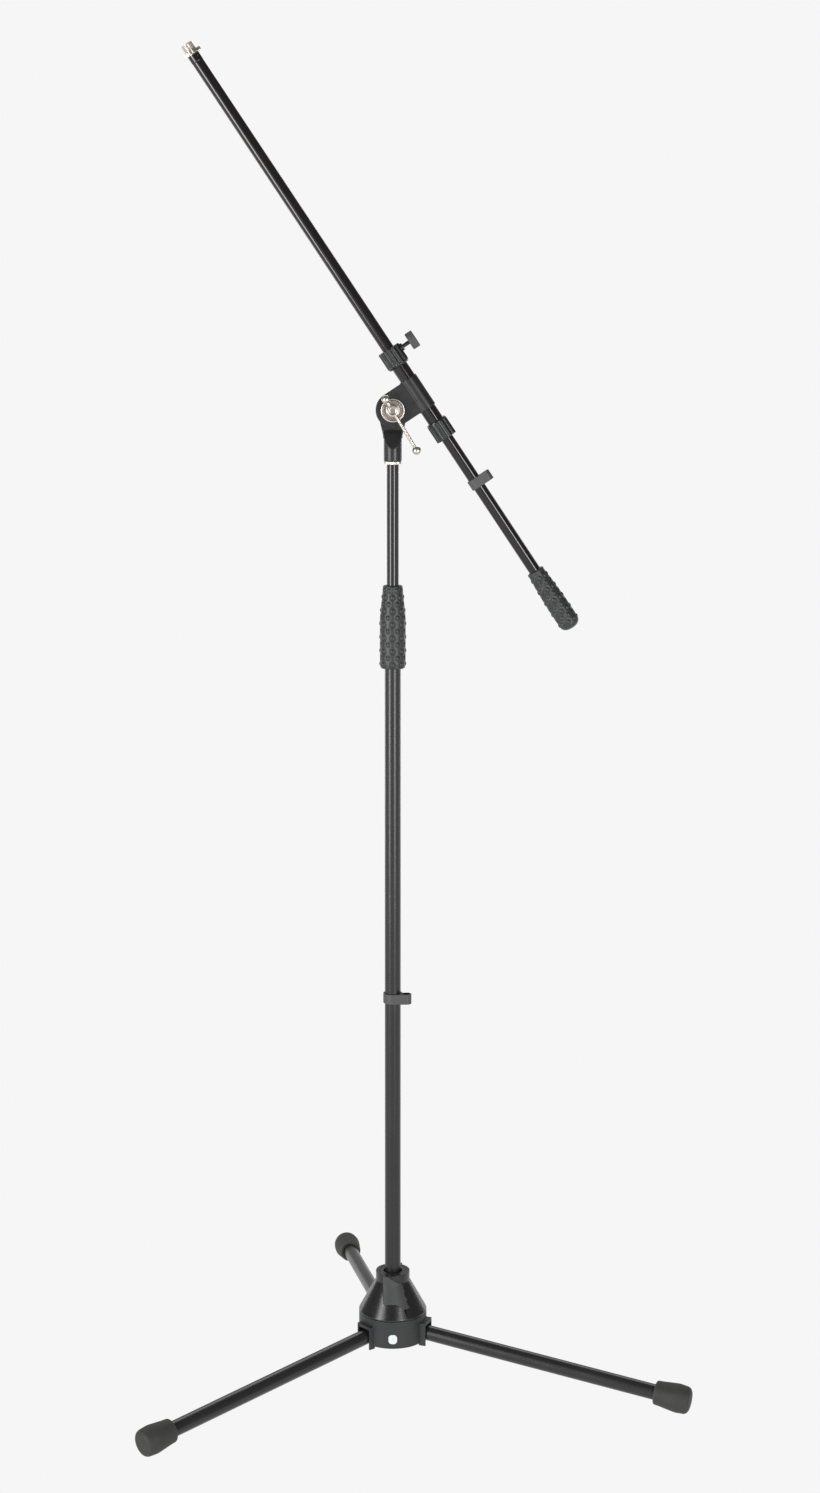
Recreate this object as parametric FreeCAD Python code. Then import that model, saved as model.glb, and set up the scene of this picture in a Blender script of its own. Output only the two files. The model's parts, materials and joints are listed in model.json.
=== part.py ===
import FreeCAD, Part
import math
import os

# Boom microphone stand: folding tripod, telescopic mast, tilting knuckle and sliding boom.
# Millimetres. The mast stands on the Z axis, the floor is z = 0, the boom lies in the XZ plane
# and the clamp screw of the knuckle faces -Y.

# ---- clearances ---------------------------------------------------------------------------
running_gap = 0.05       # radial, between a shaft and the hole that it turns or slides in
press_gap = 0.02         # radial, between two pieces fixed in one another
free_gap = 0.30          # between faces that pass one another
slide_gap = 0.10         # radial, plastic glide in a tube

# ---- tubes --------------------------------------------------------------------------------
tube_wall = 1.2
leg_tube_radius = 9.5
upper_tube_radius = 7.5
boom_tube_radius = 7.5
telescope_gap = 1.3                      # radial, inner tube to the bore of the outer tube

# ---- legs ---------------------------------------------------------------------------------
leg_azimuths = (-20.0, -140.0, 100.0)     # degrees from +X, seen from above
leg_slope = 6.34                         # degrees below level when spread
heel_gap = 3.3                           # hub to the leg tube's height when folded
leg_length = 361.6                       # pivot to the end of the foot cap
leg_tube_start = 14.0                    # pivot to the tube's inner end
leg_pin_radius = 3.0
heel_plug_length = 28.0

# ---- rubber foot cap ----------------------------------------------------------------------
foot_length = 45.0
foot_swell = 8.0                         # widest ring of the cap beyond the leg tube
foot_mouth_swell = 4.9
foot_widest = 17.0                       # from the cap's end to its widest ring
foot_mouth_round = 2.5
foot_taper = 0.9                         # the body narrows by this from its widest ring to the toe
foot_toe = 6.0                           # rounded toe: its length
foot_toe_inset = 5.5                     # and how far it draws in to the end face
foot_face_dome = 0.4                     # the end face bulges by this
foot_end_flat = 3.0
foot_floor = 8.0
foot_flat_depth = 0.9                    # the widest ring is worn flat by this much

# ---- cast leg housing ---------------------------------------------------------------------
housing_margin = 13.0                    # ring's outside beyond the leg pivots
housing_wall = 3.5
housing_below_leg = 2.7                  # ring below and above the thickness of a leg tube
housing_above_leg = 13.1
hub_wall = 5.5
hub_bore_gap = 1.7
hub_floor_thickness = 4.0
hub_recess_depth = 7.6
slot_side_gap = 0.5
cheek_thickness = 2.5
bracket_reach = 5.3
bracket_drop = 2.9                       # bracket cheeks hang this far below the ring
bracket_roof = 4.1
badge_width = 11.0
badge_height = 12.0
badge_thickness = 0.8
badge_corner = 4.4
badge_drop = 0.4                         # centre above the pivot level

# ---- locking cone and clamp plate ---------------------------------------------------------
cone_height = 40.5
cone_rim_height = 2.0
neck_height = 11.5
neck_wall = 4.3
cone_wall = 3.0
throat_lip = 1.0                         # the neck's wall is thicker than the cone's by this
wing_left = 12.2
wing_right = 26.5
wing_base = 19.7                         # wing's lower edge above the cone's rim
wing_toe = 13.2
wing_proud = 4.7
plate_thickness = 4.0
plate_lift = 1.5

# ---- mast base fastening ------------------------------------------------------------------
base_bolt_radius = 4.0
base_bolt_head = 5.3
base_bolt_flats = 13.0
base_washer_radius = 9.0
base_washer_thickness = 1.6
base_plug_length = 22.0

# ---- lower mast and clutch ----------------------------------------------------------------
lower_tube_length = 880.0
grip_length = 103.5
grip_below_tube_top = 29.0
grip_rubber = 2.0
grip_swells = (5.2, 6.0, 6.0, 5.0, 3.75, 2.5, 2.2)      # grip beyond the lower tube
grip_stations = (0.0, 0.06, 0.60, 0.71, 0.82, 0.94, 1.0)
socket_depth = 30.0
socket_flange = 3.0
socket_thread_length = 19.0
socket_thread_step = 0.6
collet_length = 32.0
collet_wall = 2.0
collet_slit = 1.6

# ---- upper mast and knuckle ---------------------------------------------------------------
mast_extension = 224.0                   # upper tube above the lower tube's top
upper_tube_length = 827.0
glide_head = 8.0
glide_stem = 20.0
dimple_radius = 2.5
dimple_depth = 1.3
dimple_drop = 10.0
stud_radius = 4.7
stud_plug_length = 28.0
stud_length = 19.0
lock_ring_radius = 10.75
lock_ring_thickness = 3.6
ring_seat_gap = 0.2
yoke_neck_radius = 11.1
yoke_neck_length = 62.6                  # neck's lower face to the tilt pivot
yoke_flare_start = 28.0
yoke_slope_start = 16.0
yoke_slope_end = 38.0
knuckle_radius = 21.0
knuckle_thickness = 8.0
knuckle_flare_angle = 40.0
friction_disc_radius = 19.0
friction_disc_thickness = 1.2
friction_disc_gap = 0.2

# ---- clamp screw, cup washer and tommy bar ------------------------------------------------
clamp_shaft_radius = 4.0
clamp_hole_gap = 0.25
clamp_nut_flats = 13.0
clamp_nut_height = 5.0
cup_washer_radius = 14.5
cup_washer_base = 1.4
cup_washer_rim = 2.4
cup_rim_width = 1.6
hub_screw_radius = 6.6
hub_screw_length = 17.5
bar_radius = 2.0
bar_height_on_hub = 11.5
bar_direction_angle = 58.8               # degrees below level towards +X
bar_short_arm = 16.2                     # pivot to the centre of the near ball
bar_long_arm = 56.4
ball_radius = 5.3
ball_socket = 3.0

# ---- boom holder and collars --------------------------------------------------------------
boom_lean = 33.6                         # degrees from upright
barrel_gap = 4.1                         # knuckle disc to the barrel
barrel_wall = 1.4
barrel_half_length = 22.0
sleeve_half_length = 50.0
collar_start = 40.0
collar_length = 25.0
front_collar_wall = 4.7
rear_collar_wall = 3.65
collar_nose_wall = 2.6
collar_chamfer = 3.0
flute_count = 14
flute_radius = 1.5
flute_depth = 0.9
bush_length = 12.0
bush_inner_gap = 0.4
screw_station = 58.0
screw_stem_radius = 2.5
screw_boss_radius = 5.0                  # boss on the front collar round the screw
screw_boss_height = 2.4
screw_pad_radius = 2.3
screw_pad_length = 2.2
knob_clearance = 11.2                    # front collar to the knob, loosened
knob_radius = 11.0
knob_height = 9.7
knob_grip = 6.0

# ---- boom ---------------------------------------------------------------------------------
boom_front = 489.0                       # from the foot of the pivot's perpendicular
boom_back = 335.0
boom_grip_length = 85.0
boom_grip_end = 347.0
boom_grip_start_swell = 3.0
boom_grip_swell = 5.65
boom_plug_length = 20.0
boom_plug_head = 2.0
boom_ferrule_length = 10.0
boom_ferrule_radius = 7.75
tip_plug_length = 25.0
tip_stud_length = 11.0
thread_radius = 7.94                     # 5/8 inch microphone thread
thread_length = 9.4
thread_shank_radius = 7.5
thread_shank_length = 5.1
tip_flange_thickness = 0.5
lock_nut_radius = 9.4
lock_nut_thickness = 4.4
ear_radius = 2.6
ear_reach = 9.6

# ---- cable clips --------------------------------------------------------------------------
clip_wall = 2.0
clip_width = 12.5
clip_hook_radius = 4.4
clip_hook_offset = 5.0
clip_mouth = 5.4
mast_clip_height = 486.0
boom_clip_station = 131.0

# ---- sizes and levels worked out from the driving sizes -----------------------------------
lower_tube_radius = upper_tube_radius + telescope_gap + tube_wall
sleeve_radius = boom_tube_radius + telescope_gap + tube_wall
hub_bore_radius = lower_tube_radius + hub_bore_gap
hub_radius = hub_bore_radius + hub_wall
neck_radius = hub_radius + neck_wall
leg_pivot_radius = hub_radius + heel_gap + leg_tube_radius
housing_radius = leg_pivot_radius + housing_margin
housing_below_pivot = leg_tube_radius + housing_below_leg
housing_height = housing_below_pivot + leg_tube_radius + housing_above_leg
foot_radius = leg_tube_radius + foot_swell
foot_mouth_radius = leg_tube_radius + foot_mouth_swell
foot_toe_radius = foot_radius - foot_taper
foot_face_radius = foot_toe_radius - foot_toe_inset
socket_thread_radius = lower_tube_radius + socket_thread_step
grip_radii = [lower_tube_radius + swell for swell in grip_swells]
barrel_radius = sleeve_radius + barrel_wall
boom_offset = knuckle_radius + barrel_gap + barrel_radius
front_collar_radius = sleeve_radius + front_collar_wall
rear_collar_radius = sleeve_radius + rear_collar_wall
collar_nose_radius = sleeve_radius + collar_nose_wall
knob_start = front_collar_radius + knob_clearance
boom_grip_start_radius = boom_tube_radius + boom_grip_start_swell
boom_grip_radius = boom_tube_radius + boom_grip_swell
throat_radius = neck_radius - cone_wall + throat_lip
slope = math.radians(leg_slope)
leg_pivot_height = (foot_radius - foot_flat_depth) + (leg_length - foot_widest) * math.sin(slope)
housing_bottom = leg_pivot_height - housing_below_pivot
housing_top = housing_bottom + housing_height
cone_base = housing_top + free_gap
neck_base = cone_base + cone_height
neck_top = neck_base + neck_height
throat_level = neck_base - cone_wall - throat_lip
slot_half_width = leg_tube_radius + slot_side_gap
slot_roof = leg_pivot_height + leg_tube_radius + free_gap
hub_recess_top = housing_bottom + hub_recess_depth
lower_tube_bottom = hub_recess_top + hub_floor_thickness
lower_tube_top = lower_tube_bottom + lower_tube_length
upper_tube_top = lower_tube_top + mast_extension
upper_tube_bottom = upper_tube_top - upper_tube_length
yoke_neck_bottom = upper_tube_top + lock_ring_thickness + 2 * ring_seat_gap
pivot_height = yoke_neck_bottom + yoke_neck_length
grip_bottom = lower_tube_top - grip_below_tube_top
collet_bottom = lower_tube_top + socket_flange + socket_thread_length + free_gap

# ---- local frames -------------------------------------------------------------------------
X_AXIS = FreeCAD.Vector(1, 0, 0)
Y_AXIS = FreeCAD.Vector(0, 1, 0)
Z_AXIS = FreeCAD.Vector(0, 0, 1)
HERE = FreeCAD.Vector(0, 0, 0)
pivot = FreeCAD.Vector(0, 0, pivot_height)

# The boom frame has its origin at the tilt pivot, Z along the boom to its tip and the boom's
# axis at x = boom_offset.
boom_frame = FreeCAD.Placement(pivot, FreeCAD.Rotation(Y_AXIS, -boom_lean))


def leg_frame(azimuth):
    """Frame of one leg: origin on its pivot pin, Z along the tube, Y along the pin."""
    turn = FreeCAD.Placement(HERE, FreeCAD.Rotation(Z_AXIS, azimuth))
    pin_place = FreeCAD.Vector(leg_pivot_radius, 0, leg_pivot_height)
    return turn * FreeCAD.Placement(pin_place, FreeCAD.Rotation(Y_AXIS, 90 + leg_slope))


def placed(shape, frame):
    """A copy of a shape that was drawn in a local frame, in the stand's own frame."""
    moved = shape.copy()
    moved.Placement = frame.multiply(moved.Placement)
    return moved


# ---- shape helpers ------------------------------------------------------------------------
def rod(radius, bottom, top):
    """Round bar on the local Z axis."""
    return Part.makeCylinder(radius, top - bottom, FreeCAD.Vector(0, 0, bottom))


def tube(outer, inner, bottom, top):
    """Round tube on the local Z axis."""
    return rod(outer, bottom, top).cut(rod(inner, bottom - 1, top + 1))


def cross_rod(radius, y_low, y_high):
    """Round bar along Y through the local origin."""
    return Part.makeCylinder(radius, y_high - y_low, FreeCAD.Vector(0, y_low, 0), Y_AXIS)


def box(x_span, y_span, z_span):
    """Block between three pairs of limits."""
    corner = FreeCAD.Vector(x_span[0], y_span[0], z_span[0])
    lengths = (x_span[1] - x_span[0], y_span[1] - y_span[0], z_span[1] - z_span[0])
    return Part.makeBox(lengths[0], lengths[1], lengths[2], corner)


def outline(points, to_vector):
    """Closed wire. A point is (a, b); an arc is ((mid a, mid b), (end a, end b))."""
    edges = []
    start = to_vector(*points[0])
    here = start
    for step in points[1:]:
        if isinstance(step[0], tuple):
            middle = to_vector(*step[0])
            there = to_vector(*step[1])
            edges.append(Part.Arc(here, middle, there).toShape())
        else:
            there = to_vector(*step)
            edges.append(Part.LineSegment(here, there).toShape())
        here = there
    if here.distanceToPoint(start) > 1e-6:
        edges.append(Part.LineSegment(here, start).toShape())
    return Part.Wire(edges)


def turned(points):
    """Solid of revolution about the local Z axis from a (radius, z) outline."""
    wire = outline(points, lambda r, z: FreeCAD.Vector(r, 0, z))
    return Part.Face(wire).revolve(HERE, Z_AXIS, 360)


def plate_xz(points, y_low, y_high):
    """Flat plate whose outline is drawn in x and z."""
    wire = outline(points, lambda x, z: FreeCAD.Vector(x, y_low, z))
    return Part.Face(wire).extrude(FreeCAD.Vector(0, y_high - y_low, 0))


def hexagon(across_flats, y_low, y_high):
    """Hexagonal bar along Y through the local origin."""
    corner = across_flats / math.sqrt(3)
    points = [
        (corner * math.cos(math.radians(60 * i)), corner * math.sin(math.radians(60 * i)))
        for i in range(6)
    ]
    return plate_xz(points, y_low, y_high)


def point_at(radius, degrees):
    """Point on a circle about the origin."""
    angle = math.radians(degrees)
    return (radius * math.cos(angle), radius * math.sin(angle))


parts = {}

# ---- leg housing --------------------------------------------------------------------------
bracket_radius = housing_radius + bracket_reach
bracket_half_width = slot_half_width + cheek_thickness
bracket_bottom = housing_bottom - bracket_drop
bracket_top = slot_roof + bracket_roof
ring = tube(housing_radius, housing_radius - housing_wall, housing_bottom, housing_top)
hub = rod(hub_radius, housing_bottom, neck_top - free_gap)
housing = ring.fuse(hub)
side = (-bracket_half_width, bracket_half_width)
slot_reach = (leg_pivot_radius - leg_tube_radius - free_gap, bracket_radius + 1)
slot_side = (-slot_half_width, slot_half_width)
pin_hole = cross_rod(leg_pin_radius + press_gap, -bracket_half_width - 1, bracket_half_width + 1)
pin_hole.translate(FreeCAD.Vector(leg_pivot_radius, 0, leg_pivot_height))
cavity_radius = housing_radius - housing_wall
for azimuth in leg_azimuths:
    inner_walls = box((0, housing_radius - 1), side, (housing_bottom, slot_roof))
    lip = box((cavity_radius, bracket_radius), side, (bracket_bottom, bracket_top))
    bracket = inner_walls.fuse(lip)
    bracket.rotate(HERE, Z_AXIS, azimuth)
    housing = housing.fuse(bracket)
for azimuth in leg_azimuths:
    slot = box(slot_reach, slot_side, (bracket_bottom - 1, slot_roof)).fuse(pin_hole)
    slot.rotate(HERE, Z_AXIS, azimuth)
    housing = housing.cut(slot)
housing = housing.cut(rod(lower_tube_radius + press_gap, lower_tube_bottom, neck_top + 1))
housing = housing.cut(rod(hub_bore_radius, housing_top, neck_top + 1))
housing = housing.cut(rod(base_washer_radius + free_gap, housing_bottom - 1, hub_recess_top))
housing = housing.cut(rod(base_bolt_radius + free_gap, hub_recess_top - 1, lower_tube_bottom + 1))
parts["leg_housing"] = housing.removeSplitter()

pins = []
for azimuth in leg_azimuths:
    pin = cross_rod(leg_pin_radius, -bracket_half_width, bracket_half_width)
    pin.translate(FreeCAD.Vector(leg_pivot_radius, 0, leg_pivot_height))
    pin.rotate(HERE, Z_AXIS, azimuth)
    pins.append(pin)
parts["leg_pivot_pins"] = Part.makeCompound(pins)

badge_low = leg_pivot_height + badge_drop - badge_height / 2
badge_high = badge_low + badge_height
half = badge_width / 2
badge_block = box((-half, half), (-housing_radius - badge_thickness, 0), (badge_low, badge_high))
corners = [edge for edge in badge_block.Edges if abs(edge.tangentAt(0).y) > 0.9]
badge_block = badge_block.makeFillet(badge_corner, corners)
badge_shell = tube(housing_radius + badge_thickness, housing_radius + press_gap, badge_low, badge_high)
parts["front_badge"] = badge_block.common(badge_shell)

# ---- locking cone, with its two thumb wings -----------------------------------------------
cone_shell = turned([
    (hub_radius + running_gap, neck_top),
    (neck_radius, neck_top),
    (neck_radius, neck_base),
    (housing_radius, cone_base + cone_rim_height),
    (housing_radius, cone_base),
    (housing_radius - cone_wall, cone_base),
    (housing_radius - cone_wall, cone_base + cone_rim_height),
    (throat_radius, throat_level),
    (hub_radius + running_gap, throat_level),
])


def thumb_wing():
    """Leaf-shaped thumb rest: a prism cut to shape by the same cone moved off centre."""
    low = cone_base + wing_base
    toe = cone_base + wing_toe
    leaf = plate_xz([
        (-wing_left, neck_top),
        (-wing_left, low),
        (0.13 * wing_right, low),
        (0.60 * wing_right, toe),
        (wing_right, toe),
        ((0.80 * wing_right, neck_base - 9.0), (0.27 * wing_right, neck_base + 2.5)),
        (-0.05 * wing_right, neck_top - 3.5),
        (-0.25 * wing_right, neck_top),
    ], -housing_radius - wing_proud, -neck_radius / 2)
    fat_cone = turned([
        (0, neck_top),
        (neck_radius, neck_top),
        (neck_radius, neck_base),
        (housing_radius, cone_base + cone_rim_height),
        (housing_radius, cone_base),
        (0, cone_base),
    ])
    fat_cone.translate(FreeCAD.Vector(-0.8 * wing_proud, -0.75 * wing_proud, 0))
    return leaf.common(fat_cone)


hollow = turned([
    (0, neck_top + 1),
    (hub_radius + running_gap, neck_top + 1),
    (hub_radius + running_gap, throat_level),
    (throat_radius, throat_level),
    (housing_radius - cone_wall, cone_base + cone_rim_height),
    (housing_radius - cone_wall, cone_base - 1),
    (0, cone_base - 1),
])
front_wing = thumb_wing()
rear_wing = front_wing.copy()
rear_wing.rotate(HERE, Z_AXIS, 180)
parts["locking_cone"] = cone_shell.fuse([front_wing, rear_wing]).cut(hollow).removeSplitter()

plate_bottom = slot_roof + free_gap
plate_top = plate_bottom + plate_thickness
collar_top = throat_level - plate_lift - free_gap
plate_bore = hub_radius + slide_gap
plate_flange = tube(housing_radius - housing_wall - 1, plate_bore, plate_bottom, plate_top)
plate_collar = tube(throat_radius - free_gap, plate_bore, plate_bottom, collar_top)
parts["leg_clamp_plate"] = plate_flange.fuse(plate_collar).removeSplitter()

# ---- mast base fastening ------------------------------------------------------------------
washer_bottom = hub_recess_top - base_washer_thickness
head_bottom = washer_bottom - base_bolt_head
parts["mast_base_washer"] = tube(
    base_washer_radius, base_bolt_radius + press_gap, washer_bottom, hub_recess_top)
bolt_head = hexagon(base_bolt_flats, 0, base_bolt_head)
bolt_head.rotate(HERE, X_AXIS, 90)
bolt_head.translate(FreeCAD.Vector(0, 0, head_bottom))
base_plug_top = lower_tube_bottom + base_plug_length
parts["mast_base_bolt"] = bolt_head.fuse(rod(base_bolt_radius, head_bottom + 1, base_plug_top - 4))
parts["mast_base_plug"] = tube(
    lower_tube_radius - tube_wall - press_gap,
    base_bolt_radius + press_gap,
    lower_tube_bottom,
    base_plug_top)

# ---- legs ---------------------------------------------------------------------------------
leg_bore = leg_tube_radius - tube_wall
eye_half_width = leg_tube_radius - 0.2
eye = cross_rod(leg_tube_radius, -eye_half_width, eye_half_width)
eye_neck = rod(leg_tube_radius, 0, leg_tube_start)
eye_neck = eye_neck.common(box((-20, 20), (-eye_half_width, eye_half_width), (-1, leg_tube_start)))
heel_plug = rod(leg_bore - press_gap, leg_tube_start - 1, leg_tube_start + heel_plug_length)
heel = eye.fuse([eye_neck, heel_plug])
heel = heel.cut(cross_rod(leg_pin_radius + running_gap, -20, 20)).removeSplitter()
leg_tube_end = leg_length - foot_floor
leg_pipe = tube(leg_tube_radius, leg_bore, leg_tube_start, leg_tube_end)
foot_mouth = leg_length - foot_length
foot_cap = turned([
    (0, leg_tube_end + press_gap),
    (leg_tube_radius + press_gap, leg_tube_end + press_gap),
    (leg_tube_radius + press_gap, foot_mouth),
    (foot_mouth_radius - foot_mouth_round, foot_mouth),
    ((foot_mouth_radius - 0.29 * foot_mouth_round, foot_mouth + 0.29 * foot_mouth_round),
     (foot_mouth_radius, foot_mouth + foot_mouth_round)),
    (foot_radius, leg_length - foot_widest),
    (foot_toe_radius, leg_length - foot_toe),
    ((foot_toe_radius - 0.29 * foot_toe_inset, leg_length - 0.32 * foot_toe),
     (foot_face_radius, leg_length - foot_face_dome)),
    (foot_end_flat, leg_length),
    (0, leg_length),
])
floor_cut = box((-900, 900), (-900, 900), (-60, 0))
for number, azimuth in enumerate(leg_azimuths, start=1):
    frame = leg_frame(azimuth)
    parts["leg_heel_%d" % number] = placed(heel, frame)
    parts["leg_tube_%d" % number] = placed(leg_pipe, frame)
    parts["foot_cap_%d" % number] = placed(foot_cap, frame).cut(floor_cut)

# ---- lower mast and its clutch ------------------------------------------------------------
lower_bore = lower_tube_radius - tube_wall
parts["mast_lower_tube"] = tube(lower_tube_radius, lower_bore, lower_tube_bottom, lower_tube_top)

thread_bottom = lower_tube_top + socket_flange
thread_top = thread_bottom + socket_thread_length
socket = rod(lower_bore - press_gap, lower_tube_top - socket_depth, lower_tube_top + 1)
socket = socket.fuse(rod(lower_tube_radius, lower_tube_top, thread_bottom))
socket = socket.fuse(rod(socket_thread_radius, thread_bottom, thread_top))
socket = socket.cut(rod(upper_tube_radius + slide_gap, lower_tube_top - socket_depth - 1, thread_top + 1))
parts["clutch_socket"] = socket.removeSplitter()

collet_top = collet_bottom + collet_length
collet_radius = upper_tube_radius + running_gap + collet_wall
collet_tip_radius = collet_radius - collet_wall / 2
collet_shoulder = collet_bottom + collet_length / 2
collet = turned([
    (upper_tube_radius + running_gap, collet_bottom),
    (collet_radius, collet_bottom),
    (collet_radius, collet_shoulder),
    (collet_tip_radius, collet_top),
    (upper_tube_radius + running_gap, collet_top),
])
slit_half = collet_slit / 2
slit = box((0, collet_radius + 1), (-slit_half, slit_half), (collet_bottom - 1, collet_top + 1))
parts["clutch_collet"] = collet.cut(slit)

grip_levels = [grip_bottom + share * grip_length for share in grip_stations]
grip_top = grip_levels[-1]
grip_outside = list(zip(grip_radii, grip_levels))
sleeve_outside = [(radius - grip_rubber, level) for radius, level in grip_outside]
sleeve_inside = [
    (upper_tube_radius + free_gap, grip_top),
    (upper_tube_radius + free_gap, collet_top + free_gap),
    (collet_tip_radius + slide_gap, collet_top + free_gap),
    (collet_radius + slide_gap, collet_shoulder),
    (collet_radius + slide_gap, thread_top + free_gap / 2),
    (socket_thread_radius + running_gap, thread_top + free_gap / 2),
    (socket_thread_radius + running_gap, thread_bottom - free_gap),
    (lower_tube_radius + slide_gap, thread_bottom - free_gap),
    (lower_tube_radius + slide_gap, grip_bottom),
]
parts["clutch_sleeve"] = turned(sleeve_outside + sleeve_inside)
bond = [(radius + press_gap, level) for radius, level in reversed(sleeve_outside)]
parts["mast_grip"] = turned(grip_outside + bond)

# ---- upper mast ---------------------------------------------------------------------------
upper_bore = upper_tube_radius - tube_wall
upper_tube = tube(upper_tube_radius, upper_bore, upper_tube_bottom, upper_tube_top)
dimple_level = upper_tube_top - dimple_drop
for side_sign in (-1, 1):
    dimple_x = side_sign * (upper_tube_radius - dimple_depth + dimple_radius)
    upper_tube = upper_tube.cut(
        Part.makeSphere(dimple_radius, FreeCAD.Vector(dimple_x, 0, dimple_level)))
parts["mast_upper_tube"] = upper_tube

glide_head_bottom = upper_tube_bottom - glide_head
glide = rod(lower_bore - slide_gap, glide_head_bottom, upper_tube_bottom - press_gap)
glide = glide.fuse(rod(upper_bore - press_gap, upper_tube_bottom - 1, upper_tube_bottom + glide_stem))
parts["mast_glide_bush"] = glide.removeSplitter()

stud_plug = rod(upper_bore - press_gap, upper_tube_top - stud_plug_length, upper_tube_top)
for side_sign in (-1, 1):
    dimple_x = side_sign * (upper_tube_radius - dimple_depth + dimple_radius)
    seat = Part.makeSphere(dimple_radius + press_gap, FreeCAD.Vector(dimple_x, 0, dimple_level))
    stud_plug = stud_plug.cut(seat)
stud = rod(stud_radius, upper_tube_top - 1, upper_tube_top + stud_length)
parts["mast_top_stud"] = stud_plug.fuse(stud).removeSplitter()

ring_bottom = upper_tube_top + ring_seat_gap
parts["neck_lock_ring"] = tube(
    lock_ring_radius, stud_radius + running_gap, ring_bottom, ring_bottom + lock_ring_thickness)

# ---- knuckle: yoke, friction disc, holder and clamp screw -----------------------------------
# Layers along Y: holder plate in front, friction disc between, yoke plate behind.
disc_front = -friction_disc_thickness / 2
disc_back = friction_disc_thickness / 2
holder_back = disc_front - friction_disc_gap
holder_front = holder_back - knuckle_thickness
yoke_front = disc_back + friction_disc_gap
yoke_back = yoke_front + knuckle_thickness
nut_front = yoke_back - clamp_nut_height

neck_rod = rod(yoke_neck_radius, yoke_neck_bottom, pivot_height - knuckle_radius / 2)
side_view = [
    (-yoke_neck_radius - 1, yoke_neck_bottom - 1),
    (yoke_neck_radius + 1, yoke_neck_bottom - 1),
    (yoke_neck_radius + 1, yoke_neck_bottom + yoke_slope_start + 6),
    (yoke_back, yoke_neck_bottom + yoke_slope_end),
    (yoke_back, pivot_height),
    (yoke_front, pivot_height),
    (yoke_front, yoke_neck_bottom + yoke_slope_end),
    (-yoke_neck_radius - 1, yoke_neck_bottom + yoke_slope_start - 2),
]
side_wire = outline(side_view, lambda y, z: FreeCAD.Vector(-30, y, z))
side_block = Part.Face(side_wire).extrude(FreeCAD.Vector(60, 0, 0))
flare_x, flare_drop = point_at(knuckle_radius, knuckle_flare_angle)
flare_bottom = yoke_neck_bottom + yoke_flare_start
flare = plate_xz([
    (-yoke_neck_radius, flare_bottom),
    (yoke_neck_radius, flare_bottom),
    (flare_x, pivot_height - flare_drop),
    (-flare_x, pivot_height - flare_drop),
], yoke_front, yoke_back)
eye_disc = cross_rod(knuckle_radius, yoke_front, yoke_back)
eye_disc.translate(pivot)
yoke = neck_rod.common(side_block).fuse([flare, eye_disc])
clearance_disc = cross_rod(knuckle_radius + free_gap, -30, yoke_front)
clearance_disc.translate(pivot)
yoke = yoke.cut(clearance_disc)
yoke = yoke.cut(rod(stud_radius + running_gap, yoke_neck_bottom - 1, upper_tube_top + stud_length + 2))
shaft_hole = cross_rod(clamp_shaft_radius + clamp_hole_gap, -30, 30)
shaft_hole.translate(pivot)
nut_pocket = hexagon(clamp_nut_flats + 2 * press_gap, nut_front, yoke_back + 1)
nut_pocket.translate(pivot)
parts["pivot_yoke"] = yoke.cut(shaft_hole).cut(nut_pocket).removeSplitter()

clamp_nut = hexagon(clamp_nut_flats, nut_front, yoke_back)
clamp_nut = clamp_nut.cut(cross_rod(clamp_shaft_radius + running_gap, -30, 30))
clamp_nut.translate(pivot)
parts["clamp_nut"] = clamp_nut

friction_disc = cross_rod(friction_disc_radius, disc_front, disc_back)
friction_disc = friction_disc.cut(cross_rod(clamp_shaft_radius + clamp_hole_gap, -30, 30))
friction_disc.translate(pivot)
parts["friction_disc"] = friction_disc

washer_back = holder_front - free_gap
washer_front = washer_back - cup_washer_base
cup = cross_rod(cup_washer_radius, washer_front - cup_washer_rim, washer_back)
cup = cup.cut(cross_rod(cup_washer_radius - cup_rim_width, -30, washer_front))
cup = cup.cut(cross_rod(clamp_shaft_radius + press_gap, -30, 30))
cup.translate(pivot)
parts["clamp_cup_washer"] = cup

hub_front = washer_front - press_gap - hub_screw_length
bar_y = washer_front - press_gap - bar_height_on_hub
bar_turn = FreeCAD.Rotation(Y_AXIS, 90 + bar_direction_angle)
bar_frame = FreeCAD.Placement(FreeCAD.Vector(0, bar_y, pivot_height), bar_turn)
clamp_screw = cross_rod(hub_screw_radius, hub_front, washer_front - press_gap)
clamp_screw = clamp_screw.fuse(cross_rod(clamp_shaft_radius, hub_front + 1, yoke_back))
clamp_screw.translate(pivot)
bar_hole = placed(rod(bar_radius + running_gap, -20, 20), bar_frame)
parts["clamp_screw"] = clamp_screw.cut(bar_hole).removeSplitter()

bar_low = -bar_short_arm - ball_radius + ball_socket
bar_high = bar_long_arm + ball_radius - ball_socket
parts["tommy_bar"] = placed(rod(bar_radius, bar_low, bar_high), bar_frame)
balls = []
for station, inward in ((-bar_short_arm, 1), (bar_long_arm, -1)):
    ball = Part.makeSphere(ball_radius, FreeCAD.Vector(0, 0, station))
    socket_end = station - inward * (ball_radius - ball_socket)
    far = station + inward * 2 * ball_radius
    ball = ball.cut(rod(bar_radius + press_gap, min(socket_end, far), max(socket_end, far)))
    balls.append(placed(ball, bar_frame))
parts["tommy_bar_balls"] = Part.makeCompound(balls)

# ---- boom holder, drawn in the boom frame ---------------------------------------------------
boom_axis = FreeCAD.Vector(boom_offset, 0, 0)


def on_boom(shape):
    """A shape drawn on the local Z axis, moved to the boom's axis and into place."""
    moved = shape.copy()
    moved.translate(boom_axis)
    return placed(moved, boom_frame)


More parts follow.
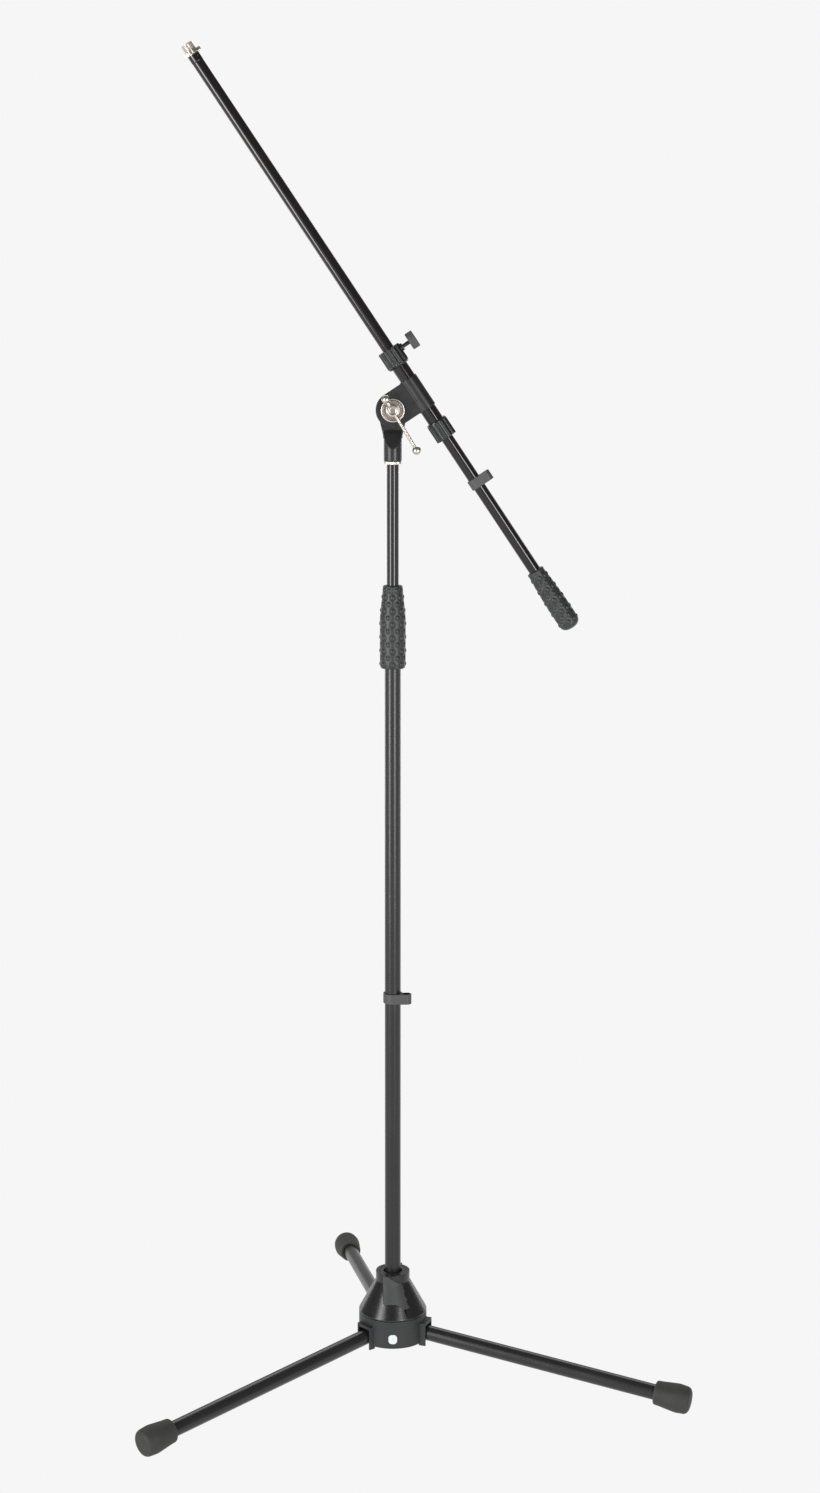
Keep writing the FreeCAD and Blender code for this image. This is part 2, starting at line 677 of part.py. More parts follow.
holder_disc = cross_rod(knuckle_radius, holder_front, holder_back)
web_half = barrel_half_length - 0.5
web = box((0, boom_offset), (holder_front, holder_back), (-web_half, web_half))
barrel = rod(barrel_radius, -barrel_half_length, barrel_half_length)
barrel.translate(boom_axis)
bore = rod(sleeve_radius + press_gap, -barrel_half_length - 1, barrel_half_length + 1)
bore.translate(boom_axis)
holder = holder_disc.fuse([web, barrel]).cut(bore)
holder = holder.cut(cross_rod(clamp_shaft_radius + clamp_hole_gap, -30, 30))
parts["boom_holder"] = placed(holder.removeSplitter(), boom_frame)

sleeve_bore = sleeve_radius - tube_wall
parts["boom_sleeve"] = on_boom(
    tube(sleeve_radius, sleeve_bore, -sleeve_half_length, sleeve_half_length))

bush_bottom = sleeve_half_length - bush_length
parts["boom_front_bush"] = on_boom(
    tube(sleeve_bore - press_gap, boom_tube_radius + running_gap, bush_bottom, sleeve_half_length))


def fluted_collar(radius, seat_gap, inner_steps):
    """Moulded collar from collar_start upward, with flutes round its outside."""
    top = collar_start + collar_length
    outside = [
        (sleeve_radius + seat_gap, collar_start),
        (collar_nose_radius, collar_start),
        (radius, collar_start + collar_chamfer),
        (radius, top),
    ]
    body = turned(outside + inner_steps)
    groove = rod(flute_radius, collar_start + 2 * collar_chamfer / 3, top + 1)
    groove.translate(FreeCAD.Vector(radius + flute_radius - flute_depth, 0, 0))
    for index in range(flute_count):
        cutter = groove.copy()
        cutter.rotate(HERE, Z_AXIS, (index + 0.5) * 360 / flute_count)
        body = body.cut(cutter)
    return body


collar_end = collar_start + collar_length
front_collar = fluted_collar(front_collar_radius, press_gap, [
    (boom_tube_radius + bush_inner_gap, collar_end),
    (boom_tube_radius + bush_inner_gap, sleeve_half_length + press_gap),
    (sleeve_radius + press_gap, sleeve_half_length + press_gap),
])
boss_seat = FreeCAD.Vector(sleeve_radius + 1, 0, screw_station)
boss_length = front_collar_radius + screw_boss_height - sleeve_radius - 1
screw_boss = Part.makeCylinder(screw_boss_radius, boss_length, boss_seat, X_AXIS)
stem_hole = Part.makeCylinder(
    screw_stem_radius + running_gap, 30, FreeCAD.Vector(0, 0, screw_station), X_AXIS)
front_collar = front_collar.fuse(screw_boss).cut(stem_hole)
parts["boom_front_collar"] = on_boom(front_collar.removeSplitter())

rear_collet_radius = sleeve_radius - 0.5
rear_collet_start = sleeve_half_length + free_gap
rear_collet_end = collar_end - 2.5
rear_collar = fluted_collar(rear_collar_radius, running_gap, [
    (boom_tube_radius + bush_inner_gap, collar_end),
    (boom_tube_radius + bush_inner_gap, rear_collet_end + free_gap),
    (rear_collet_radius + slide_gap, rear_collet_end + free_gap),
    (rear_collet_radius + slide_gap, sleeve_half_length + free_gap / 2),
    (sleeve_radius + running_gap, sleeve_half_length + free_gap / 2),
])
rear_collar.rotate(HERE, X_AXIS, 180)
parts["boom_rear_collar"] = on_boom(rear_collar)

rear_collet = tube(
    rear_collet_radius, boom_tube_radius + running_gap, -rear_collet_end, -rear_collet_start)
rear_slit = box((0, rear_collet_radius + 1), (-slit_half, slit_half), (-collar_end, 0))
parts["boom_rear_collet"] = on_boom(rear_collet.cut(rear_slit))

# ---- boom thumb screw -----------------------------------------------------------------------
def on_screw(radius, start, end):
    """Round bar on the thumb screw's axis, between two distances from the boom's axis."""
    place = FreeCAD.Vector(start, 0, screw_station)
    return Part.makeCylinder(radius, end - start, place, X_AXIS)


pad_start = boom_tube_radius + free_gap
pad_end = pad_start + screw_pad_length
parts["boom_screw_pad"] = on_boom(on_screw(screw_pad_radius, pad_start, pad_end))
stem_end = knob_start + knob_grip
parts["boom_screw"] = on_boom(on_screw(screw_stem_radius, pad_end + slide_gap, stem_end))
knob_edge = 1.0
knob = on_screw(knob_radius, knob_start, knob_start + knob_height)
knob = knob.makeFillet(knob_edge, [edge for edge in knob.Edges if len(edge.Vertexes) == 1])
knob = knob.cut(on_screw(screw_stem_radius + press_gap, knob_start - 1, stem_end + press_gap))
parts["boom_screw_knob"] = on_boom(knob)

# ---- boom tube, its grip and its microphone end ---------------------------------------------
boom_bore = boom_tube_radius - tube_wall
boom_pipe = rod(boom_tube_radius, -boom_back, boom_front)
boom_pipe = boom_pipe.fuse(rod(boom_ferrule_radius, boom_front - boom_ferrule_length, boom_front))
boom_pipe = boom_pipe.cut(rod(boom_bore, -boom_back - 1, boom_front + 1))
parts["boom_tube"] = on_boom(boom_pipe.removeSplitter())

plug_stem = rod(boom_bore - press_gap, -boom_back - 0.5, -boom_back + boom_plug_length)
plug_head = rod(boom_tube_radius, -boom_back - boom_plug_head, -boom_back - press_gap)
parts["boom_end_plug"] = on_boom(plug_stem.fuse(plug_head).removeSplitter())

grip_near = -boom_grip_end + boom_grip_length
grip_inner = boom_tube_radius + press_gap
grip_fat = -boom_grip_end + 0.28 * boom_grip_length
grip_pocket = -boom_back - boom_plug_head - press_gap
boom_grip = turned([
    (grip_inner, grip_near),
    (boom_grip_start_radius, grip_near),
    ((0.55 * boom_grip_start_radius + 0.45 * boom_grip_radius + 0.35,
      grip_near - 0.38 * boom_grip_length), (boom_grip_radius, grip_fat)),
    ((boom_grip_radius - 0.9, -boom_grip_end + 8.0), (boom_grip_radius - 3.6, -boom_grip_end + 1.6)),
    (boom_grip_radius - 7.5, -boom_grip_end),
    (0, -boom_grip_end),
    (0, grip_pocket),
    (grip_inner, grip_pocket),
])
parts["boom_grip"] = on_boom(boom_grip)

tip_plug = rod(boom_bore - press_gap, boom_front - tip_plug_length, boom_front)
tip_stud = rod(stud_radius, boom_front - 1, boom_front + tip_stud_length)
tip_flange_top = boom_front + press_gap + tip_flange_thickness
tip_flange = rod(boom_tube_radius, boom_front + press_gap, tip_flange_top)
parts["boom_end_insert"] = on_boom(tip_plug.fuse([tip_stud, tip_flange]).removeSplitter())

adapter_start = tip_flange_top + press_gap
shank_top = adapter_start + thread_shank_length
adapter_end = shank_top + thread_length
adapter = rod(thread_shank_radius, adapter_start, shank_top)
adapter = adapter.fuse(rod(thread_radius, shank_top, adapter_end))
adapter = adapter.cut(rod(stud_radius + press_gap, adapter_start - 1, adapter_end + 1))
parts["thread_adapter"] = on_boom(adapter.removeSplitter())

nut_start = adapter_start + free_gap
nut_end = nut_start + lock_nut_thickness
lock_nut = rod(lock_nut_radius, nut_start, nut_end)
for sign in (-1, 1):
    ear = rod(ear_radius, nut_start, nut_end)
    ear.translate(FreeCAD.Vector(sign * ear_reach, 0, 0))
    lock_nut = lock_nut.fuse(ear)
lock_nut = lock_nut.cut(rod(thread_shank_radius + running_gap, nut_start - 1, nut_end + 1))
parts["thread_lock_nut"] = on_boom(lock_nut.removeSplitter())


# ---- cable clips ----------------------------------------------------------------------------
def cable_clip(tube_radius):
    """Spring clip on the local Z axis: a ring round the tube and a hook open towards +Y.

    The hook's front face is flush with the ring's, so one strap runs from ring to hook.
    """
    ring_inside = tube_radius + running_gap
    ring_outside = ring_inside + clip_wall
    low = -clip_width / 2
    high = clip_width / 2
    hook_outside = clip_hook_radius + clip_wall
    hook_x = ring_outside + clip_hook_offset
    hook_y = hook_outside - ring_outside
    hook_place = FreeCAD.Vector(hook_x, hook_y, 0)
    hook = rod(hook_outside, low, high)
    hook.translate(hook_place)
    bridge = box((0, hook_x), (-ring_outside, -ring_outside + clip_wall), (low, high))
    root = box((0, hook_x - clip_hook_radius), (-ring_outside, hook_y), (low, high))
    body = rod(ring_outside, low, high).fuse([hook, bridge, root])
    cable_room = rod(clip_hook_radius, low - 1, high + 1)
    cable_room.translate(hook_place)
    mouth_half = clip_mouth / 2
    mouth_side = (hook_x - mouth_half, hook_x + mouth_half)
    mouth = box(mouth_side, (hook_y, hook_y + hook_outside + 1), (low - 1, high + 1))
    return body.cut([rod(ring_inside, low - 1, high + 1), cable_room, mouth]).removeSplitter()


mast_clip = cable_clip(lower_tube_radius)
mast_clip.translate(FreeCAD.Vector(0, 0, mast_clip_height))
parts["mast_cable_clip"] = mast_clip
boom_clip = cable_clip(boom_tube_radius)
boom_clip.translate(FreeCAD.Vector(0, 0, -boom_clip_station))
parts["boom_cable_clip"] = on_boom(boom_clip)

# ---- export ---------------------------------------------------------------------------------
os.makedirs("parts", exist_ok=True)
for name, shape in parts.items():
    shape.exportStep("parts/%s.step" % name)
    print("%-20s solids %d  volume %10.1f  valid %s" % (
        name, len(shape.Solids), shape.Volume, shape.isValid()))
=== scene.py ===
import json
import math

import bmesh
import bpy
import numpy as np
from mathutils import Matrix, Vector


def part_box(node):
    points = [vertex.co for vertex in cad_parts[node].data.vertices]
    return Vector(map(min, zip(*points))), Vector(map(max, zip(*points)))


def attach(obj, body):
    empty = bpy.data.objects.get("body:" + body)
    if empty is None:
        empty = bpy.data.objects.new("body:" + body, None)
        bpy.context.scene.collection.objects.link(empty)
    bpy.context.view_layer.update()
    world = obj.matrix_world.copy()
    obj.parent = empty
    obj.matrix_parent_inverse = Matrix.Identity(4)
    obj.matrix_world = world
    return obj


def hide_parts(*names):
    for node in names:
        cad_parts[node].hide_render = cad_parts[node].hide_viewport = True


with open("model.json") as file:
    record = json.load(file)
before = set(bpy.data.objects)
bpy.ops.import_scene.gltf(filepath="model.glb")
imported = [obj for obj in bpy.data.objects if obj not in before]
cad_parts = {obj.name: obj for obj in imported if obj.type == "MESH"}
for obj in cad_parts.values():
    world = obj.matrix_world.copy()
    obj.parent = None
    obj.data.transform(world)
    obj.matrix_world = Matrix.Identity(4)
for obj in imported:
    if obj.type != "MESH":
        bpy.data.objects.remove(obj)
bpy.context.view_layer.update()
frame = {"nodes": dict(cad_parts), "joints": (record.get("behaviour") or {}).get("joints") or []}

joints = {joint["name"]: joint for joint in frame["joints"]}

# ---- Leg housing -------------------------------------------------------------
# The middle of the tripod: one pressure casting in zinc alloy, with a slot and two cheeks for
# each leg and a hub for the mast. Its edges are fettled, and it is sprayed matt black.
MM = 0.001
FLAT_TURN = math.radians(0.8)        # faces closer than this to one plane are joined
SHARP_TURN = math.radians(28)        # edges that turn more than this are eased
MERGE_GAP = 2e-6                     # metres; corners closer than this are one
casting_edge = 0.7


def srgb(code):
    """Linear colour of a hex code.

    A share c is c / 12.92 up to 0.04045, and ((c + 0.055) / 1.055) ^ 2.4 above it.
    """
    share = np.array([int(code[i:i + 2], 16) for i in (1, 3, 5)]) / 255
    linear = np.where(share <= 0.04045, share / 12.92, ((share + 0.055) / 1.055) ** 2.4)
    return (*linear.tolist(), 1.0)


def add(tree, kind, inputs=None, **settings):
    """Adds one shader node. An input is a value, or (node, output) for a link to that output."""
    node = tree.nodes.new("ShaderNode" + kind)
    for key, value in settings.items():
        setattr(node, key, value)
    for socket, value in (inputs or {}).items():
        if isinstance(value, tuple) and isinstance(value[0], bpy.types.Node):
            tree.links.new(value[0].outputs[value[1]], node.inputs[socket])
        else:
            node.inputs[socket].default_value = value
    return node


def blank(name):
    """A new material, its empty node tree, and a node there that gives Object coordinates."""
    made = bpy.data.materials.new(name)
    made.use_nodes = True
    made.node_tree.nodes.clear()
    return made, made.node_tree, add(made.node_tree, "TexCoord")


def placed(name, shape):
    """A new object, linked to the scene."""
    made = bpy.data.objects.new(name, shape)
    bpy.context.scene.collection.objects.link(made)
    return made


def paint(material, *nodes):
    """Gives CAD solids a material."""
    for node in nodes:
        frame["nodes"][node].material_slots[0].material = material


def eased(node, name, width, material):
    """Copy of a CAD solid with its edges eased.

    Corners at one point are merged, triangles of one plane are joined, and each sharp edge is
    replaced with a round of the given width in three facets.
    """
    mesh = frame["nodes"][node].data.copy()
    for stale in ("custom_normal", "sharp_edge", "sharp_face"):
        if stale in mesh.attributes:
            mesh.attributes.remove(mesh.attributes[stale])
    form = bmesh.new()
    form.from_mesh(mesh)
    bmesh.ops.remove_doubles(form, verts=form.verts, dist=MERGE_GAP)
    bmesh.ops.dissolve_limit(form, angle_limit=FLAT_TURN, verts=form.verts, edges=form.edges)
    form.to_mesh(mesh)
    form.free()
    mesh.shade_smooth()
    mesh.materials.clear()
    mesh.materials.append(material)
    made = placed(name, mesh)
    edge = made.modifiers.new("eased_edges", "BEVEL")
    edge.width = width * MM
    edge.segments = 3
    edge.limit_method = "ANGLE"
    edge.angle_limit = SHARP_TURN
    edge.use_clamp_overlap = False
    shading = made.modifiers.new("flat_faces", "WEIGHTED_NORMAL")
    shading.weight = 50
    return made


# Zinc alloy, pressure cast and sprayed with matt black enamel: an even soft grey-black, with
# the fine orange peel of spray paint and a faint mottle where the coat is thinner.
matt_casting, tree, place = blank("zinc_casting_sprayed_matt_black")
peel_size = 2.2          # mm, spray grain; real grain is about 0.3 mm and wouldn't show
mottle_size = 14.0       # mm
mottle = add(tree, "TexNoise", {"Vector": (place, "Object"), "Scale": 1000 / mottle_size,
                                "Detail": 4.0, "Roughness": 0.6})
peel = add(tree, "TexNoise", {"Vector": (place, "Object"), "Scale": 1000 / peel_size,
                              "Detail": 2.0})
coat = add(tree, "MixRGB", {"Fac": (mottle, "Fac"), "Color1": srgb("#1f2021"),
                            "Color2": srgb("#2b2c2d")})
dull = add(tree, "MapRange", {"Value": (mottle, "Fac"), "From Min": 0.3, "From Max": 0.7,
                              "To Min": 0.44, "To Max": 0.58})
relief = add(tree, "Bump", {"Height": (peel, "Fac"), "Strength": 0.16, "Distance": 0.0002})
skin = add(tree, "BsdfPrincipled", {"Base Color": (coat, "Color"), "IOR": 1.5,
                                    "Roughness": (dull, "Result"), "Normal": (relief, "Normal")})
add(tree, "OutputMaterial", {"Surface": (skin, "BSDF")})

housing = eased("leg_housing", "housing_casting", casting_edge, matt_casting)
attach(housing, "base")
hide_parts("leg_housing")

# ---- Badge -------------------------------------------------------------------
# A plain blank plate of anodised aluminium, curved to the housing and glued in a shallow seat.
# It was brushed lengthwise before it was anodised.
badge_edge = 0.25

# Brushed aluminium, clear anodised: pale and satin, with fine level lines.
badge_finish, tree, place = blank("aluminium_brushed_clear_anodised")
brush_length = 6.0       # mm
brush_pitch = 0.5        # mm; real lines are 0.05 mm and wouldn't show
stretch = add(tree, "Mapping", {"Vector": (place, "Object"),
                                "Scale": (1000 / brush_length, 1000 / brush_length,
                                          1000 / brush_pitch)})
lines = add(tree, "TexNoise", {"Vector": (stretch, "Vector"), "Scale": 1.0, "Detail": 3.0})
tone = add(tree, "MixRGB", {"Fac": (lines, "Fac"), "Color1": srgb("#cfd3d3"),
                            "Color2": srgb("#eef1f1")})
dull = add(tree, "MapRange", {"Value": (lines, "Fac"), "To Min": 0.30, "To Max": 0.48})
relief = add(tree, "Bump", {"Height": (lines, "Fac"), "Strength": 0.2, "Distance": 0.0001})
skin = add(tree, "BsdfPrincipled", {"Base Color": (tone, "Color"), "Metallic": 0.35,
                                    "Roughness": (dull, "Result"), "Normal": (relief, "Normal")})
add(tree, "OutputMaterial", {"Surface": (skin, "BSDF")})
badge = eased("front_badge", "blank_badge", badge_edge, badge_finish)
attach(badge, "base")
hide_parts("front_badge")

# ---- Pins, bolt and studs ----------------------------------------------------
# Leg pivot pins, the bolt, washer and plug that hold the mast in the housing, and the studs,
# nut and insert inside the mast's top, the knuckle and the boom's tip: mild steel, turned or
# headed, then zinc plated and passivated.

# Zinc plate on steel: bright grey with a weak blue and straw bloom from the passivation.
zinc_plate, tree, place = blank("steel_zinc_plated")
bloom_size = 5.0         # mm
bloom = add(tree, "TexNoise", {"Vector": (place, "Object"), "Scale": 1000 / bloom_size,
                               "Detail": 3.0})
tone = add(tree, "MixRGB", {"Fac": (bloom, "Fac"), "Color1": srgb("#b4bac4"),
                            "Color2": srgb("#d0cbb8")})
dull = add(tree, "MapRange", {"Value": (bloom, "Fac"), "To Min": 0.26, "To Max": 0.42})
relief = add(tree, "Bump", {"Height": (bloom, "Fac"), "Strength": 0.15, "Distance": 0.0002})
skin = add(tree, "BsdfPrincipled", {"Base Color": (tone, "Color"), "Metallic": 1.0,
                                    "Roughness": (dull, "Result"), "Normal": (relief, "Normal")})
add(tree, "OutputMaterial", {"Surface": (skin, "BSDF")})
paint(zinc_plate, "leg_pivot_pins", "mast_base_bolt", "mast_base_washer", "mast_base_plug",
      "mast_top_stud", "clamp_nut", "boom_end_insert")

# ---- Legs --------------------------------------------------------------------
# Three tubes of drawn steel, pressed on cast zinc heels that swing on their pins. The heels are
# sprayed like the housing. The tubes and the mast's lower tube have a satin powder coat.
heel_edge = 0.8

# Drawn steel tube, powder coated satin black: a soft even sheen, with the low ripple and the
# faint clouds that baked powder has.
satin_tube, tree, place = blank("steel_tube_satin_powder_coat")
ripple_size = 6.0        # mm
cloud_size = 40.0        # mm
cloud = add(tree, "TexNoise", {"Vector": (place, "Object"), "Scale": 1000 / cloud_size,
                               "Detail": 3.0})
ripple = add(tree, "TexNoise", {"Vector": (place, "Object"), "Scale": 1000 / ripple_size,
                                "Detail": 3.0, "Roughness": 0.6})
coat = add(tree, "MixRGB", {"Fac": (cloud, "Fac"), "Color1": srgb("#1a191b"),
                            "Color2": srgb("#222123")})
dull = add(tree, "MapRange", {"Value": (cloud, "Fac"), "From Min": 0.3, "From Max": 0.7,
                              "To Min": 0.24, "To Max": 0.30})
relief = add(tree, "Bump", {"Height": (ripple, "Fac"), "Strength": 0.012, "Distance": 0.0003})
skin = add(tree, "BsdfPrincipled", {"Base Color": (coat, "Color"), "IOR": 1.5,
                                    "Roughness": (dull, "Result"), "Normal": (relief, "Normal")})
add(tree, "OutputMaterial", {"Surface": (skin, "BSDF")})
paint(satin_tube, "leg_tube_1", "leg_tube_2", "leg_tube_3", "mast_lower_tube")

for number in (1, 2, 3):
    heel = eased("leg_heel_%d" % number, "leg_heel_casting_%d" % number, heel_edge, matt_casting)
    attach(heel, "leg_%d" % number)
    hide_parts("leg_heel_%d" % number)

# ---- Foot caps ---------------------------------------------------------------
# Moulded rubber caps pushed over the leg ends: a thick lip at the mouth, a swelling body and
# a rounded toe that is worn flat where it stands on the floor.
cap_length = 45.0
cap_bore = 9.54
cap_lip = 14.4
cap_belly = 17.5
cap_toe = 16.6
cap_face = 11.1
cap_pocket = 8.0                     # solid rubber beyond the tube's end
cap_outline = [                      # radius, distance from the cap's mouth, rounding
    (0.0, cap_length - cap_pocket, 0.0),
    (cap_bore, cap_length - cap_pocket, 0.5),
    (cap_bore, 0.0, 1.0),
    (cap_lip, 0.0, 2.2),
    (cap_lip + 0.6, 7.5, 3.0),
    (cap_belly - 0.3, 25.0, 5.0),
    (cap_belly, 28.5, 3.0),
    (cap_toe, 39.5, 2.5),
    (cap_toe - 1.6, 42.6, 1.6),
    (cap_face, 44.6, 1.4),
    (3.0, cap_length, 1.0),
    (0.0, cap_length, 0.0),
]
leg_reach = 361.6                    # pivot to the end of the cap

SIDE_SHARE = 0.45                    # most of a side that a rounding may take
GUARD = 1.1                          # guard points lie this much further out than the curve
EDGE_FROM, EDGE_FULL = 25, 60        # degrees of turn where the edge mask starts and is full
SAME_POINT = 1e-4                    # mm
POLE_SPREAD = 1e-5                   # mm


def in_mm(metres):
    """A place, or several, that the frame gives in metres."""
    return np.array(metres) / MM


def softened(outline, steps=5):
    """Outline with rounded corners, as (radius, height, edge) rows.

    A corner C with rounding d turns into the curve (1-t)^2 A + 2t(1-t) C + t^2 B, where A and B
    lie at d along its two sides, but never past SIDE_SHARE of a side. A point just outside each
    end of the curve keeps the long sides flat when they are shaded. edge grows from 0 to 1
    inside the curve as the outline turns there by EDGE_FROM to EDGE_FULL.
    """
    given = np.array(outline, float)
    corner, reach = given[:, :2], given[:, 2:]
    back = np.roll(corner, 1, axis=0) - corner
    ahead = np.roll(corner, -1, axis=0) - corner
    back_length = np.linalg.norm(back, axis=1, keepdims=True)
    ahead_length = np.linalg.norm(ahead, axis=1, keepdims=True)
    reach = np.minimum(reach, SIDE_SHARE * np.minimum(back_length, ahead_length))
    a = back / back_length * reach
    b = ahead / ahead_length * reach
    t = np.linspace(0, 1, steps + 1)[None, :, None]
    curve = (1 - t) ** 2 * a[:, None] + t ** 2 * b[:, None]
    guarded = np.concatenate([GUARD * a[:, None], curve, GUARD * b[:, None]], axis=1)
    points = (corner[:, None] + guarded).reshape(-1, 2)
    turn = np.pi - np.arccos(np.clip((back * ahead).sum(1, keepdims=True)
                                     / (back_length * ahead_length).clip(1e-9), -1, 1))
    sharp = np.clip((np.degrees(turn) - EDGE_FROM) / (EDGE_FULL - EDGE_FROM), 0, 1)
    edge = (sharp * np.r_[0.0, 0.0, np.ones(steps - 1), 0.0, 0.0]).reshape(-1)
    moved = np.linalg.norm(np.diff(points, axis=0), axis=1) > SAME_POINT
    keep = np.r_[True, moved]
    return np.column_stack([points[keep], edge[keep]])


def turned(radius, height, place, sides=96):
    """Grid of points of a surface of revolution, in millimetres.

    Point (i, j) is origin + radius_ij (cos t_j x + sin t_j y) + height_i z, with
    t_j = 2 pi j / sides. place is the origin and the x, y and z directions.
    """
    origin, x, y, z = (np.asarray(part, float) for part in place)
    angle = 2 * np.pi * np.arange(sides) / sides
    around = np.cos(angle)[:, None] * x + np.sin(angle)[:, None] * y
    radius = np.asarray(radius, float)
    radius = radius[:, None] if radius.ndim == 1 else radius
    return origin + radius[..., None] * around + np.asarray(height)[:, None, None] * z


def shell(name, grid, material, ring=False, **masks):
    """Makes an object from a grid of points in millimetres, closed on itself along its second side.

    Quads join rows i and i + 1; ring joins the last row to the first too. A row whose points
    all meet is one vertex, so the quads there are triangles. Each mask is a value for each
    point, or for each row, that is stored as an attribute for the material.
    """
    rows, around = grid.shape[:2]
    index = np.arange(rows * around).reshape(rows, around)
    pole = np.ptp(grid, axis=1).max(axis=1) < POLE_SPREAD
    index[pole] = index[pole][:, :1]
    if ring:
        index = np.vstack([index, index[:1]])
    low, high = index[:-1], index[1:]
    quads = np.stack([low, np.roll(low, -1, 1), np.roll(high, -1, 1), high], axis=-1)
    used, quads = np.unique(quads.reshape(-1, 4), return_inverse=True)
    quads = quads.reshape(-1, 4)
    whole = (np.diff(np.sort(quads, axis=1), axis=1) > 0).all(axis=1)
    thin = quads[~whole]
    starts_thin = thin[:, :1] == thin[:, 1:2]
    triangles = np.where(starts_thin, thin[:, [0, 2, 3]], thin[:, [0, 1, 2]])
    mesh = bpy.data.meshes.new(name)
    faces = quads[whole].tolist() + triangles.tolist()
    mesh.from_pydata(grid.reshape(-1, 3)[used] * MM, [], faces)
    mesh.shade_smooth()
    for label, mask in masks.items():
        mask = np.asarray(mask, float)
        full = np.broadcast_to(mask[:, None] if mask.ndim == 1 else mask, (rows, around))
        stored = mesh.attributes.new(label, "FLOAT", "POINT")
        stored.data.foreach_set("value", full.reshape(-1)[used].astype(np.float32))
    mesh.materials.append(material)
    return placed(name, mesh)


# Black rubber, compression moulded: dull and dark grey, a little lighter and dusty at its rims,
# with a dry grain that is drawn coarser than it is, so that it shows.
foot_rubber, tree, place = blank("rubber_moulded_matt_black")
grain_size = 2.4         # mm
smudge_size = 12.0       # mm
smudge = add(tree, "TexNoise", {"Vector": (place, "Object"), "Scale": 1000 / smudge_size,
                                "Detail": 4.0})
grain = add(tree, "TexNoise", {"Vector": (place, "Object"), "Scale": 1000 / grain_size,
                               "Detail": 3.0, "Roughness": 0.7})
rim = add(tree, "Attribute", attribute_name="edge")
scuff = add(tree, "Math", {0: (rim, "Fac"), 1: (smudge, "Fac")}, operation="MULTIPLY")
body = add(tree, "MixRGB", {"Fac": (smudge, "Fac"), "Color1": srgb("#282826"),
                            "Color2": srgb("#323230")})
dusty = add(tree, "MixRGB", {"Fac": (scuff, "Value"), "Color1": (body, "Color"),
                             "Color2": srgb("#4b4a48")})
dull = add(tree, "MapRange", {"Value": (grain, "Fac"), "To Min": 0.58, "To Max": 0.78})
relief = add(tree, "Bump", {"Height": (grain, "Fac"), "Strength": 0.15, "Distance": 0.0003})
skin = add(tree, "BsdfPrincipled", {"Base Color": (dusty, "Color"), "IOR": 1.52,
                                    "Roughness": (dull, "Result"), "Normal": (relief, "Normal")})
add(tree, "OutputMaterial", {"Surface": (skin, "BSDF")})

UP = np.array([0.0, 0.0, 1.0])
for number in (1, 2, 3):
    fold = joints["leg_%d_fold" % number]
    pin = np.array(fold["axis"])
    droop = math.radians(90 - fold["range_deg"][1])
    outward = np.cross(pin, UP)
    along = math.cos(droop) * outward - math.sin(droop) * UP
    mouth = in_mm(fold["pos_m"]) + (leg_reach - cap_length) * along
    outline = softened(cap_outline)
    grid = turned(outline[:, 0], outline[:, 1], (mouth, np.cross(pin, along), pin, along))
    grid[..., 2] = np.maximum(grid[..., 2], 0.0)
    cap = shell("foot_cap_rubber_%d" % number, grid, foot_rubber, edge=outline[:, 2])
    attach(cap, "leg_%d" % number)
    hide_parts("foot_cap_%d" % number)

# ---- Locking cone ------------------------------------------------------------
# A screw-down cone that clamps the legs: ABS moulded in a polished mould, with a collar at the
# top and two leaf-shaped thumb rests that are part of the moulding.
cone_edge = 0.6

# ABS, polished mould: deep black with wide soft reflections, barely uneven from shrinkage and
# hazed a little by handling.
gloss_moulding, tree, place = blank("abs_moulded_gloss_black")
sink_size = 16.0         # mm
haze_size = 9.0          # mm
sink = add(tree, "TexNoise", {"Vector": (place, "Object"), "Scale": 1000 / sink_size,
                              "Detail": 2.0})
haze = add(tree, "TexNoise", {"Vector": (place, "Object"), "Scale": 1000 / haze_size,
                              "Detail": 4.0, "Roughness": 0.7})
coat = add(tree, "MixRGB", {"Fac": (sink, "Fac"), "Color1": srgb("#141415"),
                            "Color2": srgb("#1b1b1d")})
dull = add(tree, "MapRange", {"Value": (haze, "Fac"), "From Min": 0.3, "From Max": 0.7,
                              "To Min": 0.25, "To Max": 0.30})
relief = add(tree, "Bump", {"Height": (sink, "Fac"), "Strength": 0.08, "Distance": 0.0005})
skin = add(tree, "BsdfPrincipled", {"Base Color": (coat, "Color"), "IOR": 1.54,
                                    "Roughness": (dull, "Result"), "Normal": (relief, "Normal")})
add(tree, "OutputMaterial", {"Surface": (skin, "BSDF")})

# The wings are spark-eroded for grip, so they are dull and look greyer than the cone.
wing_moulding, tree, place = blank("abs_moulded_eroded_grip")
spark_size = 2.5         # mm
spark = add(tree, "TexNoise", {"Vector": (place, "Object"), "Scale": 1000 / spark_size,
                               "Detail": 3.0})
tone = add(tree, "MixRGB", {"Fac": (spark, "Fac"), "Color1": srgb("#333434"),
                            "Color2": srgb("#3e3f3f")})
dull = add(tree, "MapRange", {"Value": (spark, "Fac"), "To Min": 0.48, "To Max": 0.62})
relief = add(tree, "Bump", {"Height": (spark, "Fac"), "Strength": 0.12, "Distance": 0.0002})
skin = add(tree, "BsdfPrincipled", {"Base Color": (tone, "Color"), "IOR": 1.54,
                                    "Roughness": (dull, "Result"), "Normal": (relief, "Normal")})
add(tree, "OutputMaterial", {"Surface": (skin, "BSDF")})

